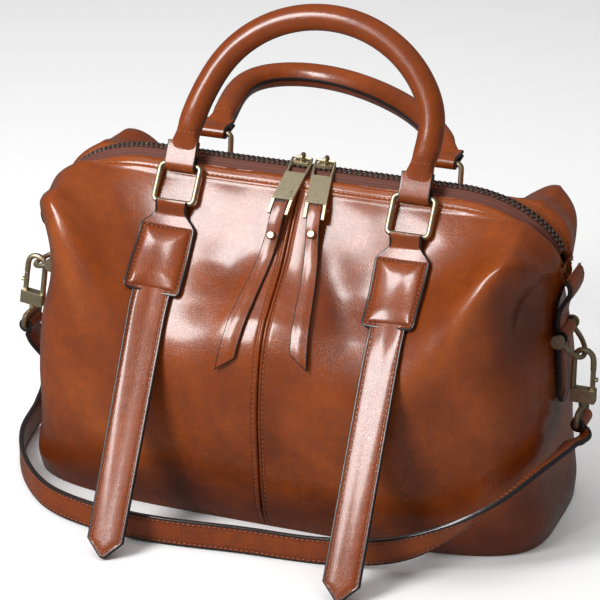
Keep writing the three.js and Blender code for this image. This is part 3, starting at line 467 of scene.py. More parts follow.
def rounded_frame(width, tall, corner, steps=7):
    """A closed rounded rectangle, as two columns: quarter circles joined by straight lines."""
    turn = np.linspace(0, math.pi / 2, steps)
    quarters = []
    for k, (a, b) in enumerate(((1, 1), (-1, 1), (-1, -1), (1, -1))):
        angle = turn + k * math.pi / 2
        quarters.append(np.stack([
            a * (width / 2 - corner) + corner * np.cos(angle),
            b * (tall / 2 - corner) + corner * np.sin(angle),
        ], axis=-1))
    loop = np.concatenate(quarters)
    return np.concatenate([loop, loop[:1]])


# The body's skin


def zip_height(x):
    """Height of the zip line: level, then a quarter ellipse down each end."""
    past = np.maximum(0, np.abs(x) - ZIP_STRAIGHT) / (HALF_LENGTH - ZIP_STRAIGHT)
    return HEIGHT - ZIP_DROP * (1 - np.sqrt(np.maximum(0, 1 - past * past)))


def ring_place(ring, along, face):
    """A place on one ring, 0 at the seam, 1 at the corner and 2 at the end. In plan the ring is a
    superellipse, and its height blends between the seam, the tab, the corner and the end."""
    end, side, square, middle, tab, corner, close = np.moveaxis(ring, -1, 0)
    reach, deep = end * HALF_LENGTH, side * HALF_DEPTH
    turn = 0.5 ** (1 / square)
    early, late = np.clip(turn * along, 0, 1), np.clip(turn * (2 - along), 0, 1)
    bend = lambda share: np.maximum(0, 1 - share**square) ** (1 / square)
    x = np.where(along <= 1, reach * early, reach * bend(late))
    y = np.where(along <= 1, deep * bend(early), deep * late)
    tab_along = HANDLE_SPREAD / (HALF_LENGTH * CORNER_ALONG)
    flank = mix(middle, tab, smooth(0, tab_along, along))
    rise = mix(flank, corner, smooth(tab_along * 0.85, CORNER_ENDS[face], along) ** 1.15)
    share = mix(rise, close, np.clip(along - 1, 0, 1) ** 0.8)
    z = np.where(middle == SLOT_RING, zip_height(x) - LIP_DROP, share * HEIGHT)
    return stacked(x, y, z)


def plain_place(along, down, face):
    """The skin without its hollows: a smooth cubic through the rings, straight across the base."""
    whole = np.minimum(np.floor(down), LAST_RING - 1).astype(int)
    share = (down - whole)[..., None]
    before, start, end, after = (
        ring_place(BODY_RINGS[np.clip(whole + k, 0, LAST_RING)], along, face) for k in (-1, 0, 1, 2)
    )
    leave, arrive = (end - before) / 2, (after - start) / 2
    cubic = 2 * start - 2 * end + leave + arrive
    square = -3 * start + 3 * end - 2 * leave - arrive
    curved = ((cubic * share + square) * share + leave) * share + start
    flat = (start[..., 2:] == 0) | (end[..., 2:] == 0)
    return np.where(flat, mix(start, end, share), curved)


def skin(side, face, along, down):
    """Places and outward directions on the skin. The direction is square to both ways along it, and each
    hollow is a bell-shaped dent along it."""
    step = 0.02
    mirror = np.array([side, face, 1])
    place = lambda a, d: plain_place(np.clip(a, 0, 2), np.clip(d, 0, LAST_RING), face) * mirror
    along, down = np.broadcast_arrays(along, down)
    here = place(along, down)
    across = place(along + step, down) - place(along - step, down)
    below = place(along, down + step) - place(along, down - step)
    out = unit(np.cross(across, below))
    out[..., 1] = np.where(along > 2 - step, 0, out[..., 1])
    out = unit(out)
    away = np.sum(out * (here - np.array([0, 0, 0.4 * HEIGHT])), axis=-1)
    base = here[..., 2] == 0
    out = np.where(((away < 0) | (base & (out[..., 2] > 0)))[..., None], -out, out)
    reach = (here / (HALF_LENGTH, HALF_DEPTH, HEIGHT))[..., None, :] - HOLLOWS[:, :3]
    bells = np.exp(-np.sum((reach / HOLLOWS[:, 3:6]) ** 2, axis=-1))
    press = np.where(base, 0, bells @ HOLLOWS[:, 6] * HALF_DEPTH)
    return here - out * press[..., None], out, press


def cross_sections(x, face):
    """The skin's section across the bag at each x, from the slot down, found by halving along each ring."""
    down = np.arange(0, 7.01, 0.125)[None, :] + np.zeros((len(x), 1))
    low, high = np.zeros_like(down), np.full_like(down, 1.6)
    for _ in range(26):
        middle = (low + high) / 2
        past = plain_place(middle, down, face)[..., 0] > np.abs(x)[:, None]
        low, high = np.where(past, low, middle), np.where(past, middle, high)
    side = -1 if x.mean() < 0 else 1
    here, out, _ = skin(side, face, (low + high) / 2, down)
    here[..., 0] = x[:, None]
    out[..., 0] = 0
    return here, unit(out)


class Lane:
    """The skin near one strip down the bag, read at any distance along X and any drop from the slot."""

    def __init__(self, face, x, width):
        self.x = np.linspace(x - width / 2, x + width / 2, 11)
        here, out = cross_sections(self.x, face)
        self.drop = np.arange(0, 0.26, MM)
        rows = []
        for places, outs in zip(here, out):
            rows.append(at_distance(self.drop, distances(places), np.concatenate([places, outs], axis=1)))
        self.table = np.stack(rows)

    def at(self, x, drop):
        """Places and outward directions, blended between the four nearest that are known."""
        x, drop = np.broadcast_arrays(x, drop)
        i = np.clip((x - self.x[0]) / (self.x[1] - self.x[0]), 0, len(self.x) - 1.001)
        j = np.clip(drop / MM, 0, len(self.drop) - 1.001)
        a, b = i.astype(int), j.astype(int)
        s, t = (i - a)[..., None], (j - b)[..., None]
        table = self.table
        near = mix(table[a, b], table[a, b + 1], t)
        far = mix(table[a + 1, b], table[a + 1, b + 1], t)
        both = mix(near, far, s)
        return both[..., :3], unit(both[..., 3:])


def end_lane(side):
    """The skin down the middle of one end: places, outward directions and drops."""
    down = np.arange(0, 7.01, 0.0625)
    here, out, _ = skin(side, FRONT, np.full_like(down, 2.0), down)
    return here, out, distances(here)


def on_end(side, drop, lift):
    """Places at a drop down the middle of one end, lifted off the skin."""
    here, out, drops = end_lane(side)
    both = at_distance(drop, drops, np.concatenate([here, out], axis=1))
    outward = unit(both[..., 3:])
    return both[..., :3] + outward * np.asarray(lift)[..., None], outward


def fold_relief(face, here):
    """Height of the soft folds: each is a bell curve across its line, fading past its ends."""
    face_folds = FOLDS[FOLDS[:, 0] == face]
    spot = here[..., None, ::2] / np.array([HALF_LENGTH, HEIGHT])
    start, end = face_folds[:, 1:3], face_folds[:, 3:5]
    scale = np.array([HALF_LENGTH, HEIGHT])
    line = (end - start) * scale
    offset = (spot - start) * scale
    share = np.clip(np.sum(offset * line, axis=-1) / np.sum(line * line, axis=-1), 0, 1)
    gap = np.linalg.norm(offset - share[..., None] * line, axis=-1) / (face_folds[:, 5] * MM)
    fade = smooth(0, 0.3, share) * (1 - smooth(0.7, 1, share))
    return np.exp(-gap * gap) * (0.3 + 0.7 * fade) @ face_folds[:, 6] * MM


def seam_relief(away):
    """Height across the centre seam: a cleft, a welt each side, and a stitched dip beyond it."""
    far = away / MM
    return MM * (0.75 * groove(far, 1.4, 1.1) - 0.55 * groove(far, 3.1, 0.8) - 1.1 * groove(far, 0, 0.5))


LIP_STITCH = 6.2 * MM
SEAM_STITCH = 3.1 * MM
SEAM_LANES = np.array([0, 0.2, 0.5, 0.9, 1.3, 1.7, 2.1, 2.6, 3.1, 3.6, 4.2, 5, 6.2, 7.8]) * MM
BODY_ALONG = np.concatenate([
    SEAM_LANES / (0.86 * HALF_LENGTH), np.linspace(0.067, 1, 66), np.linspace(1, 2, 44)[1:],
])
BODY_DOWN = np.concatenate([
    np.linspace(0, 0.62, 22), np.linspace(0.66, 7, 88), np.linspace(7.1, 8.6, 22), np.linspace(9, 11, 9),
])


def body_face(side, face):
    """Outer and inner grids of one face of one half, with its painted light and shade, outward directions
    and drops.
    """
    along, down = np.meshgrid(BODY_ALONG, BODY_DOWN)
    here, out, press = skin(side, face, along, down)
    drop = np.cumsum(np.linalg.norm(np.diff(here, axis=0, prepend=here[:1]), axis=-1), axis=0)
    standing = smooth(0, 14 * MM, here[..., 2])
    relief = fold_relief(face, here) * smooth(0, 30 * MM, drop)
    wave = here[..., 0] * 95 + here[..., 1] * 35
    relief += 0.3 * MM * np.sin(wave) * np.sin(here[..., 2] * 120 + here[..., 0] * 40)
    relief *= standing
    seam = seam_relief(np.abs(here[..., 0])) * (along < 1) * smooth(1 * MM, 6 * MM, drop)
    lip = 0.7 * MM * (1 - smooth(8 * MM, 10 * MM, drop)) - 0.45 * MM * groove(drop, LIP_STITCH, 0.8 * MM)
    lip *= smooth(0, 2 * MM, drop) * (1 - smooth(1.6, 1.9, along))
    outer = here + out * (relief + seam * standing + lip)[..., None]
    inner = here - out * BODY_LEATHER
    inner[0] = here[0] - np.array([0, 0, BODY_LEATHER])
    outer[0] = here[0]
    base = here[..., 2] == 0
    outer[..., 2] = np.where(base, 0, np.maximum(outer[..., 2], 0))
    inner[..., 2] = np.where(base, BODY_LEATHER, np.maximum(inner[..., 2], BODY_LEATHER))
    for grid in (outer, inner):
        grid[..., 0] += SEAM_PLACE * (1 - smooth(0, 20 * MM, np.abs(here[..., 0])))
        seam_x = SEAM_PLACE + side * SEAM_GAP / 2
        over = (grid[..., 0] - seam_x) * side < 0
        grid[..., 0] = np.where(over | (along == 0), seam_x, grid[..., 0])
    low = (down > 6.4) & (down < 9)
    for _ in range(10):
        eased = outer.copy()
        eased[1:-1] = (outer[:-2] + 2 * outer[1:-1] + outer[2:]) / 4
        outer = np.where(low[..., None], eased, outer)
    # Painted light and shade: lighter on fold ridges and the lip, darker in fold valleys, in the pressed
    # hollows, in the seam's cleft and toward the base.
    tone = 0.5 + 0.25 * np.clip((relief + lip) / MM, -1, 1) - 0.3 * np.clip(press / (9 * MM), 0, 1)
    tone = tone - 0.3 * (1 - smooth(0, 75 * MM, here[..., 2])) - 0.3 * np.clip(-seam / MM, 0, 1)
    return outer, inner, tone, out, drop


def build_body(look, leather, thread):
    """Each half is a leather shell: outer and inner skins, a rolled lip along the slot, and a wall down
    the seam. Stitches run along the lip and beside the seam."""
    for name, side in SIDES.items():
        shell, sewing = Shell(), Shell()
        for face in (FRONT, BACK):
            outer, inner, tone, out, drop = body_face(side, face)
            shell.grid(outer, tone=tone)
            shell.grid(inner, tone=tone)
            share = np.linspace(0, 1, 7)[:, None, None]
            # The wall down the seam's cleft gets painted shade.
            shell.grid(mix(outer[:, 0][None], inner[:, 0][None], share), tone=0.3)
            inward = -out[0] * (1, 1, 0)
            roll = np.sin(share * math.pi) * 0.5 * MM * smooth(0, 0.02, BODY_ALONG)[None, :, None]
            # The rolled lip along the slot gets a little painted shade.
            shell.grid(mix(outer[0][None], inner[0][None], share) + unit(inward)[None] * roll, tone=0.45)
            row = nearest(drop[:, 20], LIP_STITCH)
            end = nearest(BODY_ALONG, 1.45)
            lip_rows = np.argmin(np.abs(drop - LIP_STITCH), axis=0)
            columns = np.arange(2, end)
            path = outer[lip_rows[columns], columns]
            stitches(sewing, relaxed(path, 4), out[lip_rows[columns], columns], look.thread, look.pitch)
            seam = nearest(SEAM_LANES, SEAM_STITCH)
            stop = nearest(BODY_DOWN, 8)
            path = outer[row + 2:stop, seam]
            stitches(sewing, path, out[row + 2:stop, seam], look.thread, look.pitch)
        shell.build(f"{name}_body_shell", leather, "bag", "bag_leather", [f"body_{name}"], sharp=60)
        sewing.build(f"{name}_body_stitching", thread, "bag", "bag_leather")


# Zip


def zip_line(x, y, lift):
    """Places beside the zip line, lifted square to it."""
    slope = (zip_height(x + 0.5 * MM) - zip_height(x - 0.5 * MM)) / MM
    out = unit(stacked(-slope, 0 * x, 1 + 0 * x))
    return stacked(x, y, zip_height(x)) + out * np.asarray(lift)[..., None], out


def build_tapes(tape):
    """Each tape is a woven sheet from the teeth out under the lip, lower where the leather covers it."""
    end = HALF_LENGTH - ZIP_STOP
    x = np.linspace(-end, end, 180)
    edge = SLOT_HALF * np.maximum(0, 1 - (np.abs(x) / HALF_LENGTH) ** 5) ** 0.2 - TAPE_INSET
    share = np.linspace(0, 1, 13)
    for name, face in FACES.items():
        y = mix(CHAIN_HALF + CLEARANCE, edge[:, None], share[None, :])
        fall = smooth(0.1, 0.95, share)[None, :] * LIP_DROP
        ribs = 0.12 * MM * np.cos(share * 2 * math.pi * 4)[None, :]
        spots = np.broadcast_arrays(x[:, None], face * y, -TAPE_SINK - fall + ribs)
        upper, _ = zip_line(*spots)
        lower, _ = zip_line(spots[0], spots[1], spots[2] - TAPE_THICK)
        across = paired(x[:, None], y)
        shell = Shell()
        shell.grid(upper, across)
        shell.grid(lower, across)
        shell.walls(upper, lower, rim=0)
        shell.build(f"{name}_zip_tape", tape, "bag", "zip_tape", [f"zip_tape_{name}"])


def build_teeth(look, metal, tape):
    """The teeth of both sides, set half a step apart. Each is a rounded block whose head is narrower than
    its root, and they sit on a cord that runs along under them."""
    end = HALF_LENGTH - ZIP_STOP
    x = np.linspace(-end, end, 400)
    line, out = zip_line(x, 0 * x, 0 * x)
    along = distances(line)
    shell = Shell()
    turn, roll = np.meshgrid(np.linspace(0, math.pi, 5), np.linspace(0, 2 * math.pi, 9), indexing="ij")
    boxy = lambda value: np.sign(value) * np.abs(value) ** 0.45
    for face in (FRONT, BACK):
        count = int(along[-1] / look.tooth_pitch)
        middle = (np.arange(count) + (0.25 if face < 0 else 0.75)) * along[-1] / count
        here = at_distance(middle, along, line)
        ahead = unit(at_distance(middle + MM, along, line) - at_distance(middle - MM, along, line))
        up = unit(at_distance(middle, along, out))
        reach = boxy(-np.cos(turn))
        wide = boxy(np.sin(turn)) * boxy(np.cos(roll)) * look.tooth_pitch * 0.27 * (1 - 0.25 * reach)
        tall = boxy(np.sin(turn)) * boxy(np.sin(roll)) * 1.25 * MM
        local = face * (CHAIN_HALF * 0.48 - reach * CHAIN_HALF * 0.44)
        spot = lambda vector, share: vector[:, None, None, :] * share[None, ..., None]
        places = here[:, None, None, :] + spot(ahead, wide) + spot(up, tall - 0.55 * MM)
        shell.grid(places + stacked(0, local, 0)[None])
    shell.build("zip_teeth", metal, "bag", "zip_teeth", ["zip_chain"], sharp=30)
    base = Shell()
    rise = np.full_like(x, -1.3 * MM)
    share = np.linspace(-1, 1, 5)
    upper, _ = zip_line(x[:, None], share * CHAIN_HALF * 0.9, rise[:, None] + 0 * share)
    lower, _ = zip_line(x[:, None], share * CHAIN_HALF * 0.9, rise[:, None] - 0.8 * MM + 0 * share)
    base.grid(upper)
    base.grid(lower)
    base.walls(upper, lower, rim=0)
    base.build("zip_tooth_cord", tape, "bag", "zip_tape")


# Pulls


def pull_line(name, length):
    """The pull's own line from its bail: straight over the lip at its slope, then down on the skin."""
    x = SLIDER_MIDDLE + SIDES[name] * SLIDER_SPACING / 2
    lean = PULL_LEANS[name]
    lane = Lane(FRONT, x + lean * PULL_LENGTH * 0.6, MM)
    fall = math.sin(PULL_SLOPE) * length
    stiff = stacked(0, -math.cos(PULL_SLOPE) * length, BAIL_HEIGHT + zip_height(0.0) - fall)
    drop = np.maximum(length - PLATE_FOOT + PLATE_FOOT_DROP, 0)
    lift = mix(STRIP_LIFT, STRIP_REST, smooth(PLATE_FOOT, PLATE_FOOT + 30 * MM, length))
    soft, out = lane.at(lane.x[5], drop)
    soft = soft + out * lift[..., None]
    share = smooth(PLATE_FOOT - 2 * MM, PLATE_FOOT + 14 * MM, length)[..., None]
    here = mix(stiff, soft, share)
    slope = np.array([0, -math.sin(PULL_SLOPE), math.cos(PULL_SLOPE)])
    here[..., 0] = x + lean * np.maximum(0, length - BAIL_STRAIGHT)
    return here, unit(mix(slope, out, share))


def build_strips(leather):
    """Each strip widens from the plate's prongs to its slanted end, its face bowed across and its edges
    rounded.
    """
    for name, side in SIDES.items():
        start = PLATE_FOOT + CLEARANCE
        share = np.concatenate([np.linspace(0, 0.97, 60), [0.985, 0.993, 1]])
        insets = np.array([0, 0.12, 0.3, 0.55, 0.9]) * MM
        inner = np.linspace(-1, 1, 11)[1:-1]
        wide = mix(PLATE_WIDTH - 2 * PRONG_WIDTH - 2 * CLEARANCE, STRIP_WIDTH, smooth(0.05, 0.9, share))
        across, from_edge = lane_places(wide / 2, insets, inner)
        slant = side * across / STRIP_WIDTH * STRIP_SLANT * smooth(0.7, 1, share)[:, None]
        end = PULL_REACHES[name] * PULL_LENGTH
        length = mix(start, end, share)[:, None] + slant
        here, out = pull_line(name, length)
        here[..., 0] += across
        from_end = np.abs(end + slant - length)
        edge = np.minimum(from_edge, from_end)
        bow = 0.25 * MM * np.cos(np.clip(across / STRIP_WIDTH, -0.5, 0.5) * 2 * math.pi)
        rise = STRIP_THICK / 2 - edge_round(edge, 0.5 * MM)
        upper = here + out * (rise + bow)[..., None]
        lower = here - out * rise[..., None]
        spread = paired(length, across)
        shell = Shell()
        shell.slab(upper, lower, spread, rim_mark(edge, 0.9 * MM))
        shell.build(f"{name}_pull_strip", leather, f"pull_{name}", "trim_leather", [f"pull_strip_{name}"])


# Tabs and belts


# The tab's face: its height at the neck and below it, the drop over which it settles, its padding inside
# the stitches, its rounded edge and corners, and its stitch rows.
TAB_HEIGHTS = (8.4 * MM, 3.6 * MM)
TAB_SETTLE = 9 * MM
PILLOW_REACH = 11 * MM
PILLOW_HEIGHT = 2.5 * MM
TAB_EDGE = 1.1 * MM
TAB_CORNER = 4.2 * MM
TAB_STITCH = 3 * MM
TAB_TOP_ROW = 16.5 * MM
TAB_SEWN_FROM = 10 * MM


def build_tabs(look, leather, thread):
    """Each tab is a padded plate whose neck passes over the ring's lower bar and back under. Its rows go
    round the bar on a circle, then down the skin, and its face swells inside the stitch row."""
    insets = np.array([0, 0.15, 0.4, 0.8, 1.3, 2, 2.5, 3, 3.5, 4.2]) * MM
    inner = np.linspace(-1, 1, 15)[1:-1]
    for label, face in FACES.items():
        for name, side in SIDES.items():
            x = side * HANDLE_SPREAD
            lane = Lane(face, x, TAB_WIDTH + 2 * MM)
            drop = np.concatenate([
                np.linspace(0.3, 12, 18), np.linspace(12.5, 20, 16), np.linspace(21, 50, 26),
                TAB_LENGTH / MM - np.array([6, 5.2, 4.4, 3.7, 3, 2.4, 1.8, 1.3, 0.8, 0.4, 0.15, 0]),
            ]) * MM
            half = mix(NECK_WIDTH, TAB_WIDTH, smooth(6 * MM, 17 * MM, drop)) / 2
            half -= edge_round(TAB_LENGTH - drop, TAB_CORNER) * 0.9
            across, from_side = lane_places(half, insets, inner)
            from_end = (TAB_LENGTH - drop)[:, None]
            edge = np.minimum(from_side, from_end + 0 * across)
            inside = np.minimum(edge - TAB_STITCH, (drop - TAB_TOP_ROW)[:, None])
            here, out = lane.at(x + across, (NECK_DROP + drop)[:, None])
            body = mix(*TAB_HEIGHTS, smooth(0, TAB_SETTLE, drop))[:, None]
            pillow = np.clip(inside / PILLOW_REACH, 0, 1)
            swell = PILLOW_HEIGHT * np.sin(pillow * math.pi / 2) ** 0.75
            dip = 0.6 * MM * groove(inside, 0, 0.8 * MM) * (drop > TAB_SEWN_FROM)[:, None]
            high = body + swell - dip - edge_round(edge, TAB_EDGE)
            low = mix(6.4 * MM, TAB_LIFT, smooth(0, TAB_SETTLE, drop))[:, None] + edge_round(edge, 0.5 * MM)
            upper, lower = here + out * high[..., None], here + out * low[..., None]
            turn = np.linspace(math.radians(195), 0, 22)[:, None]
            neck, _ = lane_places(np.full(len(turn), NECK_WIDTH / 2), insets, inner)
            centre, outward = lane.at(np.array(x), np.array(NECK_DROP))
            centre = centre + outward * (LOOP_RADIUS + CLEARANCE)
            rise = unit(np.cross([1.0, 0, 0], outward)) * -face
            from_neck = NECK_WIDTH / 2 - np.abs(neck)
            round_edge = edge_round(from_neck, 0.6 * MM)
            spin = np.cos(turn)[..., None] * outward + np.sin(turn)[..., None] * rise
            middle = centre + neck[..., None] * X_WAY
            around = middle + spin * (LOOP_RADIUS - round_edge)[..., None]
            within = middle + spin * (LOOP_RADIUS - LOOP_LEATHER + round_edge)[..., None]
            upper, lower = np.concatenate([around, upper]), np.concatenate([within, lower])
            rim = np.concatenate([rim_mark(from_neck, 1.3 * MM), rim_mark(edge, 1.9 * MM)])
            far = distances(upper[:, upper.shape[1] // 2])
            spread = paired(far[:, None], np.concatenate([neck, across]))
            shell = Shell()
            # Painted shade along the stitch rows below the neck, none on the neck itself.
            sewn = np.where((drop > TAB_SEWN_FROM)[:, None], inside, 9 * MM)
            shade = np.concatenate([np.full(neck.shape, 0.5), stitch_painted_shade(sewn, 0)])
            shell.slab(upper, lower, spread, rim, shade, 0.6)
            shell.build(
                f"{label}_{name}_tab", leather, "bag", "trim_leather", [f"tab_{label}_{name}"], sharp=55
            )
            lane_in = nearest(insets, TAB_STITCH)
            first = nearest(drop, TAB_TOP_ROW)
            last = nearest(TAB_LENGTH - drop, TAB_STITCH)
            rows = here + out * (high + 0.05 * MM)[..., None]
            down_left, down_right = rows[first:last + 1, lane_in], rows[first:last + 1, -1 - lane_in]
            sewing = Shell()
            for path, outs in (
                (down_left, out[first:last + 1, lane_in]),
                (down_right, out[first:last + 1, -1 - lane_in]),
                (rows[last, lane_in:rows.shape[1] - lane_in], out[last, lane_in:rows.shape[1] - lane_in]),
                (rows[first, lane_in:rows.shape[1] - lane_in], out[first, lane_in:rows.shape[1] - lane_in]),
            ):
                stitches(sewing, path, outs, look.thread, look.pitch * 0.85)
            sewing.build(f"{label}_{name}_tab_stitching", thread, "bag", "trim_leather")


def belt_route(lane, x, across):
    """One lane of a belt: down the skin from under the tab, then straight to the ground in front, its
    bend eased, in equal steps."""
    lift = TAB_LIFT + BELT_THICK / 2
    drop = np.linspace(NECK_DROP + TAB_LENGTH - BELT_TUCK, NECK_DROP + TAB_LENGTH + BELT_LEAVE, 40)
    here, out = lane.at(x + across, drop)
    here = here + out * lift
    leave = here[-1]
    reach = HALF_DEPTH + BELT_REACH + leave[1]
    slope = math.atan2(leave[2], reach)
    tip = np.array([leave[0], leave[1] - reach, BELT_THICK / 2 * math.cos(slope) + CLEARANCE / 2])
    straight = mix(leave, tip, np.linspace(0, 1, 140)[1:, None])
    return relaxed(resampled(np.concatenate([here, straight]), 170), 40)


BELT_STITCH = 2.6 * MM
BELT_EDGE = 0.8 * MM


def build_belts(look, leather, thread):
    """Each belt is a flat strap with its edges stitched and its end cut to a point."""
    insets = np.array([0, 0.12, 0.3, 0.6, 1, 1.6, 2.1, 2.6, 3.1, 3.8]) * MM
    inner = np.linspace(-1, 1, 9)[1:-1]
    for name, side in SIDES.items():
        x = side * HANDLE_SPREAD
        lane = Lane(FRONT, x, BELT_WIDTH + 2 * MM)
        share = np.linspace(-1, 1, 5)
        routes = np.stack([belt_route(lane, x, s * BELT_WIDTH / 2) for s in share], axis=1)
        far = distances(routes[:, 2])
        total = far[-1]
        keep = np.concatenate([
            np.linspace(0, total - 14 * MM, 110),
            total - np.array([13, 12, 11, 10, 9, 8, 7, 6, 5, 4, 3, 2.2, 1.5, 0.9, 0.4, 0.1, 0]) * MM,
        ])
        half = np.interp(total - keep, [0, BELT_POINT], [BELT_NOSE / 2, BELT_WIDTH / 2])
        half -= edge_round(total - keep, 1.4 * MM) * 0.7
        across, from_side = lane_places(half, insets, inner)
        bend = np.clip((total - keep) / BELT_POINT, 0, 1)[:, None]
        edge = np.minimum(from_side * mix(0.75, 1, bend), (total - keep)[:, None] + 0 * across)
        middle = at_distance(keep, far, routes[:, 2])
        flat = routes - routes[:, 2:3]
        bow = np.stack([at_distance(keep, far, flat[:, k]) for k in range(5)], axis=1)
        place = (across / (BELT_WIDTH / 2) + 1) * 2
        low = np.clip(place.astype(int), 0, 3)
        rows = np.arange(len(keep))[:, None]
        centre = middle[:, None] + mix(bow[rows, low], bow[rows, low + 1], (place - low)[..., None])
        ahead = directions(middle)
        out = unit(np.cross(X_WAY, ahead))
        out = out * np.sign(np.sum(out * np.array([0, -0.3, 1.0]), axis=-1, keepdims=True))
        rise = BELT_THICK / 2 - edge_round(edge, BELT_EDGE)
        dip = 0.35 * MM * groove(from_side, BELT_STITCH, 0.6 * MM) * (bend > 0.9)
        swell = 0.5 * MM * smooth(BELT_STITCH, BELT_STITCH + 5 * MM, from_side)
        upper = centre + out[:, None] * (rise - dip + swell)[..., None]
        lower = centre - out[:, None] * rise[..., None]
        spread = paired(keep[:, None], across)
        shell = Shell()
        # The face gets painted shade along its stitch rows.
        shell.slab(upper, lower, spread, rim_mark(edge, 1.6 * MM), stitch_painted_shade(from_side, BELT_STITCH))
        shell.build(f"{name}_belt", leather, "bag", "trim_leather", [f"belt_{name}"], sharp=55)
        sewing = Shell()
        column = nearest(insets, BELT_STITCH)
        stop = nearest(total - keep, 9 * MM)
        for pick in (column, -1 - column):
            path = np.concatenate([upper[:stop, pick], upper[-7:-6, upper.shape[1] // 2]])
            outs = np.concatenate([out[:stop], out[-7:-6]])
            stitches(sewing, path + outs * 0.1 * MM, outs, look.thread, look.pitch)
        sewing.build(f"{name}_belt_stitching", thread, "bag", "trim_leather")


# Handles and rings


def joint_place(name):
    """Where the frame says a joint is."""
    joints = frame["record"]["behaviour"]["joints"]
    return np.array(next(joint["pos_m"] for joint in joints if joint["name"] == name), float)


def build_rings(metal):
    """Each ring is a round wire bent to a rounded rectangle, leaning in its tab."""
    for label in FACES:
        bar = joint_place(f"{label}_ring_swing")
        lean = -math.radians(RING_LEANS[label])
        for name, side in SIDES.items():
            frame_line = rounded_frame(RING_WIDTH, RING_PITCH, RING_CORNER)
            path = stacked(frame_line[:, 0], 0, frame_line[:, 1] + RING_PITCH / 2)
            places = wire(path, [0.0, 1.0, 0.0], RING_WIRE, closed=True, count=15)
            places = turned(places, lean) + bar + np.array([side * HANDLE_SPREAD, 0, 0])
            shell = Shell()
            shell.grid(places)
            shell.build(
                f"{label}_{name}_ring", metal, f"{label}_rings", "hardware",
                [f"ring_{label}_{name}"], sharp=80,
            )


# The handle's tube: where it begins and is round, its thickness at the foot, its waist and the foot's seam.
TUBE_START = 7 * MM
TUBE_ROUND = 36 * MM
TUBE_THIN = 2.6 * MM
WAIST_PLACE = 20 * MM
WAIST_DEPTH = 0.9 * MM
FOOT_SEWN = 21 * MM


